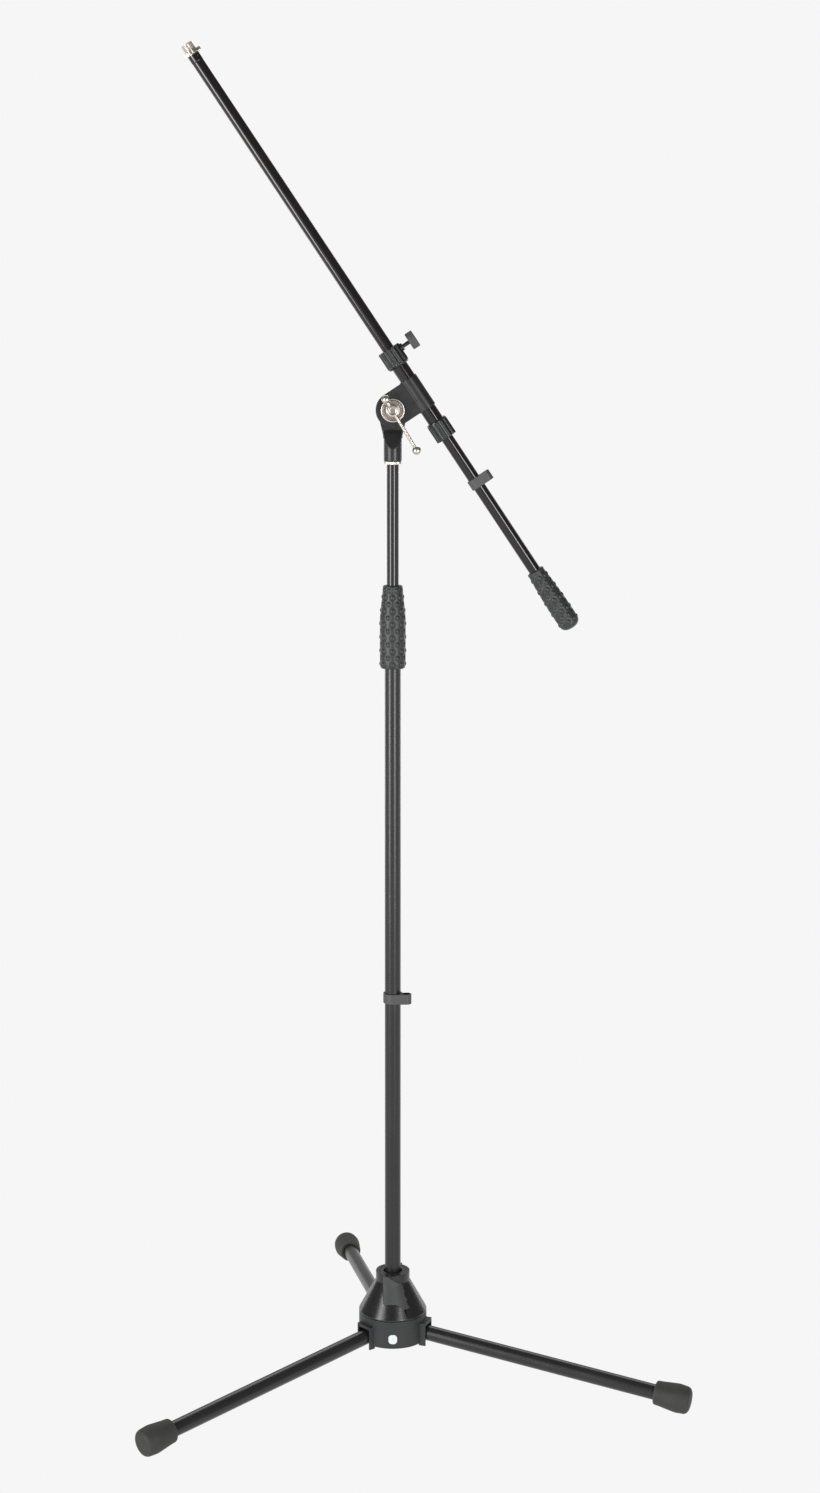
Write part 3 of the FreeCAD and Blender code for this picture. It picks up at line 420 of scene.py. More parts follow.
cone = eased("locking_cone", "cone_moulding", cone_edge, gloss_moulding)
cone_foot = in_mm(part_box("locking_cone"))[0, 2]
cone_levels = cone_foot + np.array([0.0, 2.0, 40.5, 52.0])   # rim, its top, neck, its top
cone_radii = (43.0, 43.0, 21.5, 21.5)
wing_clear = 0.35                    # faces that stand prouder than this belong to a wing
cone.data.materials.append(wing_moulding)
middle = np.empty(3 * len(cone.data.polygons))
cone.data.polygons.foreach_get("center", middle)
middle = middle.reshape(-1, 3) / MM
plain_radius = np.interp(middle[:, 2], cone_levels, cone_radii)
proud = np.hypot(middle[:, 0], middle[:, 1]) > plain_radius + wing_clear
cone.data.polygons.foreach_set("material_index", proud.astype(np.int32))
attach(cone, "locking_cone")
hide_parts("locking_cone")

# ---- Nylon clamp plate, socket and sleeve ------------------------------------
# The plate that the cone presses on the leg heels, the clutch's socket and sleeve under the
# grip, and the plug in the boom's lower end: glass-filled nylon, moulded and left as it comes.

# Glass-filled nylon: black with a dry satin skin and pale swirls of fibre near the surface.
black_nylon, tree, place = blank("nylon_glass_filled_black")
swirl_size = 5.0         # mm
swirl = add(tree, "TexNoise", {"Vector": (place, "Object"), "Scale": 1000 / swirl_size,
                               "Detail": 5.0, "Distortion": 0.8})
tone = add(tree, "MixRGB", {"Fac": (swirl, "Fac"), "Color1": srgb("#1a1a1b"),
                            "Color2": srgb("#2a2a2b")})
dull = add(tree, "MapRange", {"Value": (swirl, "Fac"), "To Min": 0.40, "To Max": 0.60})
relief = add(tree, "Bump", {"Height": (swirl, "Fac"), "Strength": 0.15, "Distance": 0.0002})
skin = add(tree, "BsdfPrincipled", {"Base Color": (tone, "Color"), "IOR": 1.53,
                                    "Roughness": (dull, "Result"), "Normal": (relief, "Normal")})
add(tree, "OutputMaterial", {"Surface": (skin, "BSDF")})
paint(black_nylon, "leg_clamp_plate", "clutch_socket", "clutch_sleeve", "boom_end_plug")

# ---- Collets, glide and bush -------------------------------------------------
# The pieces that the tubes slide in or are gripped by: two bushes and two collets, turned from
# natural acetal bar.

# Acetal, turned: cream white and waxy, with fine feed marks.
acetal, tree, place = blank("acetal_turned_natural")
tool_pitch = 0.6         # mm, feed marks; real ones are 0.1 mm and wouldn't show
tool = add(tree, "TexNoise", {"Vector": (place, "Object"), "Scale": 1000 / tool_pitch,
                              "Detail": 1.0})
tone = add(tree, "MixRGB", {"Fac": (tool, "Fac"), "Color1": srgb("#dedbd0"),
                            "Color2": srgb("#eceadf")})
dull = add(tree, "MapRange", {"Value": (tool, "Fac"), "To Min": 0.34, "To Max": 0.48})
relief = add(tree, "Bump", {"Height": (tool, "Fac"), "Strength": 0.15, "Distance": 0.0001})
skin = add(tree, "BsdfPrincipled", {"Base Color": (tone, "Color"), "IOR": 1.48,
                                    "Roughness": (dull, "Result"), "Normal": (relief, "Normal")})
add(tree, "OutputMaterial", {"Surface": (skin, "BSDF")})
paint(acetal, "clutch_collet", "mast_glide_bush", "boom_front_bush", "boom_rear_collet")

# ---- Cable clips -------------------------------------------------------------
# Two spring clips that snap on the tubes: a ring and a strap that ends in an open hook for the
# cable. Moulded in one piece from dark grey nylon.
clip_edge = 0.55

# Nylon, moulded dark grey: satin and a little chalky, with soft flow marks.
grey_nylon, tree, place = blank("nylon_moulded_dark_grey")
flow_size = 7.0          # mm
pit_size = 2.0           # mm
flow = add(tree, "TexNoise", {"Vector": (place, "Object"), "Scale": 1000 / flow_size,
                              "Detail": 3.0, "Distortion": 0.5})
pits = add(tree, "TexNoise", {"Vector": (place, "Object"), "Scale": 1000 / pit_size})
tone = add(tree, "MixRGB", {"Fac": (flow, "Fac"), "Color1": srgb("#3d3d3e"),
                            "Color2": srgb("#474748")})
dull = add(tree, "MapRange", {"Value": (flow, "Fac"), "To Min": 0.42, "To Max": 0.58})
relief = add(tree, "Bump", {"Height": (pits, "Fac"), "Strength": 0.15, "Distance": 0.0001})
skin = add(tree, "BsdfPrincipled", {"Base Color": (tone, "Color"), "IOR": 1.53,
                                    "Roughness": (dull, "Result"), "Normal": (relief, "Normal")})
add(tree, "OutputMaterial", {"Surface": (skin, "BSDF")})

for node, body in (("mast_cable_clip", "mast_clip"), ("boom_cable_clip", "boom_clip")):
    clip = eased(node, node + "_moulding", clip_edge, grey_nylon)
    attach(clip, body)
    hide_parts(node)

# ---- Mast grip ---------------------------------------------------------------
# A soft rubber sleeve over the mast's clutch, turned by hand to free the inner tube. Raised dots
# in staggered rows, each in its own shallow ring, are moulded all over it.
grip_low, grip_high = in_mm(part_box("mast_grip"))
grip_stations = (0.0, 0.06, 0.60, 0.71, 0.82, 0.94, 1.0)     # share of the length
grip_radii = (15.2, 16.0, 16.0, 15.0, 13.75, 12.5, 12.2)
grip_bond_low = 13.3                 # radius of the bore at its lower and upper ends
grip_bond_high = 10.3
grip_round = 2.2                     # rounded ends
grip_rings = 176                     # rows of the grid between the rounded ends
grip_ring_gap = 0.5                  # from a rounded end to the next row
grip_rows = 12
grip_row_pitch = 8.4
dot_radius = 2.6
dot_height = 0.8
dot_fullness = 0.7
moat_radius = 3.3
moat_width = 0.55
moat_depth = 0.35
dots_around = 8


def dotted(along, radius, first, pitch, count, sides):
    """Height of the moulded dots and the mask of their rings, on a grid (along, angle).

    Dots stand in rows at first + k pitch, dots_around to a row, and every other row is turned
    by half a step. With d the distance to the nearest dot's middle, the height is
    dot_height (1 - (d / dot_radius)^2)^dot_fullness inside the dot, less
    moat_depth exp(-((d - moat_radius) / moat_width)^2).
    """
    angle = 2 * np.pi * np.arange(sides) / sides
    step = 2 * np.pi / dots_around
    nearest = np.full((len(along), sides), 1e3)
    for shift in (0, 1):
        row = np.clip(np.floor((along - first) / pitch) + shift, 0, count - 1)
        turn = (row % 2) * step / 2
        across = (angle[None, :] - turn[:, None] + step / 2) % step - step / 2
        up = (along - first - row * pitch)[:, None]
        nearest = np.minimum(nearest, np.hypot(up, across * radius[:, None]))
    dome = np.clip(1 - (nearest / dot_radius) ** 2, 0, None) ** dot_fullness
    moat = np.exp(-((nearest - moat_radius) / moat_width) ** 2)
    return dot_height * dome - moat_depth * moat, moat


def rounded_end(distance, size):
    """How far a surface falls back at this distance from its end: a quarter circle of that size."""
    gap = np.clip(size - distance, 0, size)
    return size - np.sqrt(size ** 2 - gap ** 2)


# Thermoplastic rubber, moulded: dark grey, dry and soft, catching light on its dots, while the
# rings round them are painted dark: painted shade in the hollows, with some dust and oil.
grip_rubber, tree, place = blank("rubber_grip_moulded_grey")
wipe_size = 18.0         # mm
pore_size = 1.8          # mm
wipe = add(tree, "TexNoise", {"Vector": (place, "Object"), "Scale": 1000 / wipe_size,
                              "Detail": 4.0})
pores = add(tree, "TexNoise", {"Vector": (place, "Object"), "Scale": 1000 / pore_size,
                               "Detail": 2.0})
ringed = add(tree, "Attribute", attribute_name="moat")
body = add(tree, "MixRGB", {"Fac": (wipe, "Fac"), "Color1": srgb("#252626"),
                            "Color2": srgb("#303131")})
# painted shade: the rings round the dots are darkened towards #151616, with some dust
moat_dust_and_shade = add(tree, "MixRGB", {"Fac": (ringed, "Fac"), "Color1": (body, "Color"),
                             "Color2": srgb("#151616")})
dull = add(tree, "MapRange", {"Value": (wipe, "Fac"), "To Min": 0.36, "To Max": 0.50})
relief = add(tree, "Bump", {"Height": (pores, "Fac"), "Strength": 0.2, "Distance": 0.0001})
skin = add(tree, "BsdfPrincipled", {"Base Color": (moat_dust_and_shade, "Color"), "IOR": 1.5,
                                    "Roughness": (dull, "Result"), "Normal": (relief, "Normal")})
add(tree, "OutputMaterial", {"Surface": (skin, "BSDF")})

MAST = (np.zeros(3), np.array([1.0, 0, 0]), np.array([0, 1.0, 0]), UP)
grip_sides = 192
grip_length = grip_high[2] - grip_low[2]
fine_end = np.linspace(0, grip_round, 8)
inner_end = grip_round + grip_ring_gap
level = np.r_[fine_end, np.linspace(inner_end, grip_length - inner_end, grip_rings),
              grip_length - fine_end[::-1]]
radius = np.interp(level / grip_length, grip_stations, grip_radii)
radius = radius - rounded_end(np.minimum(level, grip_length - level), grip_round)
first_row = (grip_length - (grip_rows - 1) * grip_row_pitch) / 2
height, moat = dotted(level, radius, first_row, grip_row_pitch, grip_rows, grip_sides)
outside = radius[:, None] + height
ends = np.ones((1, grip_sides))
profile = np.vstack([grip_bond_low * ends, outside, grip_bond_high * ends])
level = grip_low[2] + np.r_[0, level, grip_length]
moat = np.vstack([0 * ends, moat, 0 * ends])
grip = shell("mast_grip_rubber", turned(profile, level, MAST, grip_sides), grip_rubber,
             ring=True, moat=moat)
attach(grip, "mast_clutch")
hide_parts("mast_grip")

# ---- Upper mast --------------------------------------------------------------
# The inner tube: drawn steel, polished and stoved in gloss black enamel so that it slides, with
# a dimple pressed in each side to hold the stud in its top. The boom's sleeve is finished alike.

# Stoved enamel on steel: near black and mirror-like, dulled a little in broad smears where it
# slides and is handled.
gloss_tube, tree, place = blank("steel_tube_gloss_black_enamel")
wave_size = 25.0         # mm
smear_size = 35.0        # mm
wave = add(tree, "TexNoise", {"Vector": (place, "Object"), "Scale": 1000 / wave_size,
                              "Detail": 2.0})
smear = add(tree, "TexNoise", {"Vector": (place, "Object"), "Scale": 1000 / smear_size,
                               "Detail": 2.0})
coat = add(tree, "MixRGB", {"Fac": (wave, "Fac"), "Color1": srgb("#0f0c0c"),
                            "Color2": srgb("#1a1616")})
dull = add(tree, "MapRange", {"Value": (smear, "Fac"), "From Min": 0.3, "From Max": 0.7,
                              "To Min": 0.07, "To Max": 0.11})
relief = add(tree, "Bump", {"Height": (wave, "Fac"), "Strength": 0.05, "Distance": 0.0003})
skin = add(tree, "BsdfPrincipled", {"Base Color": (coat, "Color"), "IOR": 1.52,
                                    "Roughness": (dull, "Result"), "Normal": (relief, "Normal")})
add(tree, "OutputMaterial", {"Surface": (skin, "BSDF")})
paint(gloss_tube, "mast_upper_tube", "boom_sleeve")

# ---- Lock ring ---------------------------------------------------------------
# A thin ring nut between the tube and the knuckle's neck: turned steel, coarsely knurled at its
# rim and nickel plated.
ring_low, ring_high = in_mm(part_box("neck_lock_ring"))
ring_bore = 4.8
ring_radius = ring_high[0]
ring_teeth = 40
tooth_depth = 0.3
tooth_reach = 1.2                    # the knurl cuts this far in from the rim
ring_sides = 8 * ring_teeth
ring_round = 0.7

# Nickel plate on polished steel or brass: bright and a little warm, barely uneven from polishing,
# with a painted highlight, and some wear, along its rounded edges.
nickel, tree, place = blank("steel_bright_nickel_plated")
polish_size = 9.0        # mm
polish = add(tree, "TexNoise", {"Vector": (place, "Object"), "Scale": 1000 / polish_size,
                                "Detail": 2.0})
edge_wear_and_highlight = add(tree, "Attribute", attribute_name="edge")
tone = add(tree, "MixRGB", {"Fac": (polish, "Fac"), "Color1": srgb("#beb4ac"),
                            "Color2": srgb("#d2cac2")})
# painted highlight, with some wear: the edge mask lightens the plate along its rounded edges
bright = add(tree, "MixRGB", {"Fac": (edge_wear_and_highlight, "Fac"), "Color1": (tone, "Color"),
                              "Color2": srgb("#f0ece6")})
dull = add(tree, "MapRange", {"Value": (polish, "Fac"), "To Min": 0.25, "To Max": 0.31})
relief = add(tree, "Bump", {"Height": (polish, "Fac"), "Strength": 0.008, "Distance": 0.0002})
skin = add(tree, "BsdfPrincipled", {"Base Color": (bright, "Color"), "Metallic": 1.0,
                                    "Roughness": (dull, "Result"), "Normal": (relief, "Normal")})
add(tree, "OutputMaterial", {"Surface": (skin, "BSDF")})


def toothed(outline, teeth, depth, sides, least):
    """Radius grid of a turned outline with a wavy rim.

    At angle t it is radius - depth (1 + cos(teeth t)) / 2 wherever the radius is over least.
    """
    angle = 2 * np.pi * np.arange(sides) / sides
    wave = depth * (1 + np.cos(teeth * angle)) / 2
    radius = outline[:, :1]
    return radius - np.where(radius > least, 1.0, 0.0) * wave


outline = softened([
    (ring_bore, ring_low[2], 0.2),
    (ring_radius, ring_low[2], ring_round),
    (ring_radius, ring_high[2], ring_round),
    (ring_bore, ring_high[2], 0.2),
])
profile = toothed(outline, ring_teeth, tooth_depth, ring_sides, ring_radius - tooth_reach)
ring_nut = shell("lock_ring_nut", turned(profile, outline[:, 1], MAST, ring_sides), nickel,
                 ring=True, edge=outline[:, 2])
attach(ring_nut, "upper_mast")
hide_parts("neck_lock_ring")

# ---- Knuckle -----------------------------------------------------------------
# Two castings that clamp face to face with a fibre disc between them: the yoke screws on the
# mast, and the holder carries the boom's sleeve. Zinc alloy with a satin black stoved coat.
knuckle_edge = 0.9

# Zinc alloy, sprayed and stoved satin black: smoother and darker than the housing.
satin_casting, tree, place = blank("zinc_casting_satin_black")
patch_size = 11.0        # mm
speck_size = 3.0         # mm
patch = add(tree, "TexNoise", {"Vector": (place, "Object"), "Scale": 1000 / patch_size,
                               "Detail": 3.0})
speck = add(tree, "TexNoise", {"Vector": (place, "Object"), "Scale": 1000 / speck_size,
                               "Detail": 2.0})
coat = add(tree, "MixRGB", {"Fac": (patch, "Fac"), "Color1": srgb("#161617"),
                            "Color2": srgb("#202021")})
dull = add(tree, "MapRange", {"Value": (patch, "Fac"), "From Min": 0.3, "From Max": 0.7,
                              "To Min": 0.30, "To Max": 0.42})
relief = add(tree, "Bump", {"Height": (speck, "Fac"), "Strength": 0.10, "Distance": 0.0002})
skin = add(tree, "BsdfPrincipled", {"Base Color": (coat, "Color"), "IOR": 1.5,
                                    "Roughness": (dull, "Result"), "Normal": (relief, "Normal")})
add(tree, "OutputMaterial", {"Surface": (skin, "BSDF")})

yoke = eased("pivot_yoke", "yoke_casting", knuckle_edge, satin_casting)
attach(yoke, "upper_mast")
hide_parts("pivot_yoke")

holder = eased("boom_holder", "holder_casting", knuckle_edge, satin_casting)
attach(holder, "boom_holder")
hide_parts("boom_holder")

# Friction disc: pressed fibre in resin, red-brown with paler strands.
fibre, tree, place = blank("fibre_pressed_resin")
strand_size = 1.5        # mm
strand = add(tree, "TexNoise", {"Vector": (place, "Object"), "Scale": 1000 / strand_size,
                                "Detail": 6.0, "Distortion": 2.0})
tone = add(tree, "MixRGB", {"Fac": (strand, "Fac"), "Color1": srgb("#4a2a1c"),
                            "Color2": srgb("#8a5a3c")})
relief = add(tree, "Bump", {"Height": (strand, "Fac"), "Strength": 0.4, "Distance": 0.0002})
skin = add(tree, "BsdfPrincipled", {"Base Color": (tone, "Color"), "Roughness": 0.8,
                                    "Normal": (relief, "Normal")})
add(tree, "OutputMaterial", {"Surface": (skin, "BSDF")})
paint(fibre, "friction_disc")

# ---- Clamp screw and cup washer ----------------------------------------------
# The screw that clamps the knuckle, with a dished washer under its head. Both are turned on a
# lathe and nickel plated; the washer's raised rim and floor keep their fine turning rings.
pivot = in_mm(joints["boom_tilt"]["pos_m"])
FRONT = (pivot, np.array([1.0, 0, 0]), UP, np.array([0, -1.0, 0]))   # heights count to the front
washer_low, washer_high = in_mm(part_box("clamp_cup_washer"))
washer_radius = washer_high[0]
washer_back, washer_front = -washer_high[1], -washer_low[1]
washer_floor = washer_back + 1.4
washer_bore = 4.02
rim_width = 2.0
hub_height = 0.35                    # low boss round the bore, under the head
washer_outline = softened([
    (washer_bore, washer_back, 0.2),
    (washer_radius, washer_back, 0.5),
    (washer_radius, washer_front, 0.9),
    (washer_radius - rim_width, washer_front, 0.7),
    (washer_radius - rim_width - 0.5, washer_floor, 0.9),
    (washer_bore + 4.0, washer_floor, 0.3),
    (washer_bore + 3.4, washer_floor + hub_height, 0.3),
    (washer_bore, washer_floor + hub_height, 0.2),
])
grid = turned(washer_outline[:, 0], washer_outline[:, 1], FRONT, 128)

# Nickel plate over turned steel: rings of fine tool marks that spread each reflection, and a
# painted highlight, with some wear, along its rounded edges.
turned_nickel, tree, place = blank("steel_turned_nickel_plated")
mark_pitch = 1.6         # mm; real marks are 0.1 mm and wouldn't show
wave_scale = 1000 / mark_pitch * math.pi / 10     # a wave of scale 1 repeats every pi / 10
centred = add(tree, "Mapping", {"Vector": (place, "Object"),
                                "Location": tuple(-pivot * MM)})
marks = add(tree, "TexWave", {"Vector": (centred, "Vector"), "Scale": wave_scale,
                              "Distortion": 0.6, "Detail": 2.0},
            wave_type="RINGS", rings_direction="Y")
edge_wear_and_highlight = add(tree, "Attribute", attribute_name="edge")
tone = add(tree, "MixRGB", {"Fac": (marks, "Fac"), "Color1": srgb("#8f8780"),
                            "Color2": srgb("#aaa29a")})
# painted highlight, with some wear: the edge mask lightens the rim and corners towards #efeae4
bright = add(tree, "MixRGB", {"Fac": (edge_wear_and_highlight, "Fac"), "Color1": (tone, "Color"),
                              "Color2": srgb("#efeae4")})
relief = add(tree, "Bump", {"Height": (marks, "Fac"), "Strength": 0.02, "Distance": 0.0001})
skin = add(tree, "BsdfPrincipled", {"Base Color": (bright, "Color"), "Metallic": 1.0,
                                    "Roughness": 0.34, "Normal": (relief, "Normal")})
add(tree, "OutputMaterial", {"Surface": (skin, "BSDF")})
washer = shell("cup_washer_turned", grid, turned_nickel, ring=True, edge=washer_outline[:, 2])
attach(washer, "clamp_screw")
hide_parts("clamp_cup_washer")

screw_low, screw_high = in_mm(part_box("clamp_screw"))
head_radius = screw_high[0]
head_front = -screw_low[1]
head_seat = 0.37                     # from the washer's floor to the back of the head
head_back = washer_floor + head_seat
shaft_radius = 4.0
shaft_end = -screw_high[1]
head_groove = 0.5
screw_outline = softened([
    (0.0, shaft_end, 0.0),
    (shaft_radius - 0.6, shaft_end, 0.2),
    (shaft_radius, shaft_end + 0.8, 0.2),
    (shaft_radius, head_back, 0.2),
    (head_radius - 0.2, head_back, 0.3),
    (head_radius, head_back + 1.2, 0.4),
    (head_radius, head_front - 3.6, 0.2),
    (head_radius - head_groove, head_front - 3.2, 0.2),
    (head_radius - head_groove, head_front - 2.6, 0.2),
    (head_radius, head_front - 2.2, 0.2),
    (head_radius, head_front, 1.2),
    (head_radius - 2.2, head_front, 0.5),
    (head_radius - 3.0, head_front - 0.6, 0.5),
    (0.0, head_front - 0.6, 0.0),
])
screw = shell("clamp_screw_turned", turned(screw_outline[:, 0], screw_outline[:, 1], FRONT),
              turned_nickel, edge=screw_outline[:, 2])
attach(screw, "clamp_screw")
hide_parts("clamp_screw")

# ---- Tommy bar ---------------------------------------------------------------
# A round bar that slides through the screw's head, with a ball pressed on each end so that it
# can't fall out. Bright nickel plate.
bar_way = np.array(joints["tommy_bar_slide"]["axis"])
bar_low, bar_high = in_mm(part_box("tommy_bar"))
ball_low, ball_high = in_mm(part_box("tommy_bar_balls"))
bar_y = (bar_low[1] + bar_high[1]) / 2
bar_radius = (bar_high[1] - bar_low[1]) / 2
ball_radius = (ball_high[1] - ball_low[1]) / 2
bar_origin = np.array([0.0, bar_y, pivot[2]])
BAR = (bar_origin, np.cross([0, 1.0, 0], bar_way), np.array([0, 1.0, 0]), bar_way)
near_ball = (ball_low[0] + ball_radius) / bar_way[0]
far_ball = (ball_high[0] - ball_radius) / bar_way[0]
bar_past = 1.0                       # the rod ends this far past the middle of each ball
bar_outline = softened([
    (0.0, near_ball - bar_past, 0.0),
    (bar_radius, near_ball - bar_past, 0.3),
    (bar_radius, far_ball + bar_past, 0.3),
    (0.0, far_ball + bar_past, 0.0),
])
bar = shell("tommy_bar_rod", turned(bar_outline[:, 0], bar_outline[:, 1], BAR, 48), nickel)
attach(bar, "tommy_bar")
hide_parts("tommy_bar")

swing = np.linspace(np.pi, 0.0, 49)
ball_profile = np.r_[0.0, ball_radius * np.sin(swing[1:-1]), 0.0]
ball_heights = ball_radius * np.cos(swing)
for label, centre in (("near", near_ball), ("far", far_ball)):
    grid = turned(ball_profile, centre + ball_heights, BAR, 64)
    ball = shell("tommy_bar_ball_" + label, grid, nickel)
    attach(ball, "tommy_bar")
    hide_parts("tommy_bar_balls")

# ---- Boom collars ------------------------------------------------------------
# Moulded nylon collars on the two ends of the boom's sleeve, fluted for the hand. The front one
# is fixed and holds the thumb screw; the rear one turns to squeeze its collet.
ALONG = np.array(joints["boom_slide"]["axis"])
ACROSS = np.cross([0, 1.0, 0], ALONG)
on_axis = in_mm(joints["boom_roll"]["pos_m"])
boom_offset = (on_axis - pivot) @ ACROSS
BOOM = (pivot + boom_offset * ACROSS, ACROSS, np.array([0, 1.0, 0]), ALONG)
BACK = (BOOM[0], ACROSS, np.array([0, -1.0, 0]), -ALONG)     # heights count towards the grip
collar_from, collar_to = 40.0, 65.0
sleeve_radius = 10.02
tube_radius = 7.5
tube_clear = 0.4
bore_step = 5.0                      # the bore narrows from sleeve to tube this far from its end
front_radius, rear_radius = 14.7, 13.65
nose_wall = 2.6
nose_slope = 3.0
flutes = 14
flute_depth = 1.1
flute_half_width = 1.9
flute_from = collar_from + 2.0
flute_run_in = 2.0
flute_reach = 1.6                    # flutes cut only the wall this close to the rim
ridge_depth, ridge_blend = 0.35, 0.3     # the painted ridge highlight starts this deep and is full after this height
collar_sides = flutes * 20

# Nylon, moulded in a spark-eroded mould: satin black, lighter on the ridges: a painted highlight,
# with some rubbing.
collar_nylon, tree, place = blank("nylon_moulded_satin_black")
rub_size = 9.0           # mm
rub = add(tree, "TexNoise", {"Vector": (place, "Object"), "Scale": 1000 / rub_size,
                             "Detail": 3.0})
ridge = add(tree, "Attribute", attribute_name="edge")
# painted highlight on the flute ridges, patchy with rubbing
ridge_rub_and_highlight = add(tree, "Math", {0: (ridge, "Fac"), 1: (rub, "Fac")}, operation="MULTIPLY")
tone = add(tree, "MixRGB", {"Fac": (ridge_rub_and_highlight, "Value"), "Color1": srgb("#161718"),
                            "Color2": srgb("#37393a")})
dull = add(tree, "MapRange", {"Value": (rub, "Fac"), "To Min": 0.22, "To Max": 0.30})
relief = add(tree, "Bump", {"Height": (rub, "Fac"), "Strength": 0.05, "Distance": 0.0002})
skin = add(tree, "BsdfPrincipled", {"Base Color": (tone, "Color"), "IOR": 1.53,
                                    "Roughness": (dull, "Result"), "Normal": (relief, "Normal")})
add(tree, "OutputMaterial", {"Surface": (skin, "BSDF")})


def fluted(outline, radius, depth, half_width, count, start, sides):
    """Radius grid of a turned outline with long flutes.

    A flute's depth is depth exp(-(s / half_width)^4), with s the distance round the rim from its
    middle. It grows from nothing over flute_run_in past start, and only cuts the outer wall.
    """
    angle = 2 * np.pi * np.arange(sides) / sides
    step = 2 * np.pi / count
    s = radius * ((angle + step / 2) % step - step / 2)
    groove = depth * np.exp(-(s / half_width) ** 4)
    grown = np.clip((outline[:, 1:2] - start) / flute_run_in, 0, 1)
    outer = outline[:, :1] > radius - flute_reach
    return outline[:, :1] - grown * outer * groove


for name, node, body, radius, place_on in (
        ("front_collar_moulding", "boom_front_collar", "boom_holder", front_radius, BOOM),
        ("rear_collar_moulding", "boom_rear_collar", "rear_collar", rear_radius, BACK)):
    corner = softened([
        (sleeve_radius, collar_from, 0.4),
        (sleeve_radius + nose_wall, collar_from, 0.9),
        (radius, collar_from + nose_slope, 1.2),
        (radius, collar_to, 1.1),
        (tube_radius + tube_clear, collar_to, 0.4),
        (tube_radius + tube_clear, collar_to - bore_step, 0.2),
        (sleeve_radius, collar_to - bore_step - 0.5, 0.2),
    ])
    profile = fluted(corner, radius, flute_depth, flute_half_width, flutes, flute_from,
                     collar_sides)
    ridges = np.clip((profile - (radius - ridge_depth)) / ridge_blend, 0, 1)
    collar = shell(name, turned(profile, corner[:, 1], place_on, collar_sides), collar_nylon,
                   ring=True, edge=ridges)
    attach(collar, body)
    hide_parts(node)

# The front collar's boss, moulded with it, gives the thumb screw a flat to come out of.
screw_station = 58.0                 # along the boom from the knuckle's pivot
SCREW = (BOOM[0] + screw_station * ALONG, np.array([0, 1.0, 0]), ALONG, ACROSS)
boss_radius = 5.0
boss_root = sleeve_radius + 1.5
boss_top = front_radius + 2.4
boss_hole = 2.55
boss_outline = softened([
    (boss_hole, boss_root, 0.1),
    (boss_radius, boss_root, 0.1),
    (boss_radius, boss_top, 0.9),
    (boss_hole, boss_top, 0.3),
])
boss = shell("front_collar_boss", turned(boss_outline[:, 0], boss_outline[:, 1], SCREW, 64),
             collar_nylon, ring=True, edge=boss_outline[:, 2])
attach(boss, "boom_holder")
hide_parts("boom_front_collar")

# ---- Thumb screw -------------------------------------------------------------
# A blackened steel screw in a moulded knob that locks the boom in its sleeve, with a small
# brass pad at its end so that the tube isn't marked.
knob_start, knob_height, knob_radius = 25.9, 9.7, 11.0
knob_flutes = 24
knob_flute_depth = 0.45
knob_flute_half_width = 0.75
knob_boss = 5.0
knob_outline = softened([
    (0.0, knob_start + 0.8, 0.0),
    (knob_boss, knob_start + 0.8, 0.3),
    (knob_boss + 0.6, knob_start, 0.4),
    (knob_radius - 0.5, knob_start, 0.9),
    (knob_radius, knob_start + 1.4, 0.9),
    (knob_radius, knob_start + knob_height, 1.5),
    (knob_radius - 2.8, knob_start + knob_height, 0.8),
    (knob_radius - 3.6, knob_start + knob_height - 0.6, 0.8),
    (0.0, knob_start + knob_height - 0.3, 0.0),
])
knob_sides = knob_flutes * 10
profile = fluted(knob_outline, knob_radius, knob_flute_depth, knob_flute_half_width, knob_flutes,
                 knob_start, knob_sides)
knob = shell("thumb_knob_moulding", turned(profile, knob_outline[:, 1], SCREW, knob_sides),
             grey_nylon, edge=knob_outline[:, 2])
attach(knob, "thumb_screw")
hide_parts("boom_screw_knob")

# Blackened steel: dark, oily and half bright, with straw-tinted patches.
black_steel, tree, place = blank("steel_oil_blackened")
oil_size = 3.0           # mm
oil = add(tree, "TexNoise", {"Vector": (place, "Object"), "Scale": 1000 / oil_size, "Detail": 3.0})
tone = add(tree, "MixRGB", {"Fac": (oil, "Fac"), "Color1": srgb("#2a2a2c"),
                            "Color2": srgb("#4a4642")})
dull = add(tree, "MapRange", {"Value": (oil, "Fac"), "To Min": 0.28, "To Max": 0.45})
skin = add(tree, "BsdfPrincipled", {"Base Color": (tone, "Color"), "Metallic": 1.0,
                                    "Roughness": (dull, "Result")})
add(tree, "OutputMaterial", {"Surface": (skin, "BSDF")})
paint(black_steel, "boom_screw")

# Brass, turned: warm yellow with fine tool marks.
brass, tree, place = blank("brass_turned")
lathe_pitch = 0.8        # mm; real marks are 0.1 mm and wouldn't show
tool = add(tree, "TexNoise", {"Vector": (place, "Object"), "Scale": 1000 / lathe_pitch,
                              "Detail": 2.0})
tone = add(tree, "MixRGB", {"Fac": (tool, "Fac"), "Color1": srgb("#b8923f"),
                            "Color2": srgb("#d8b566")})
skin = add(tree, "BsdfPrincipled", {"Base Color": (tone, "Color"), "Metallic": 1.0,
                                    "Roughness": 0.3})
add(tree, "OutputMaterial", {"Surface": (skin, "BSDF")})
paint(brass, "boom_screw_pad")

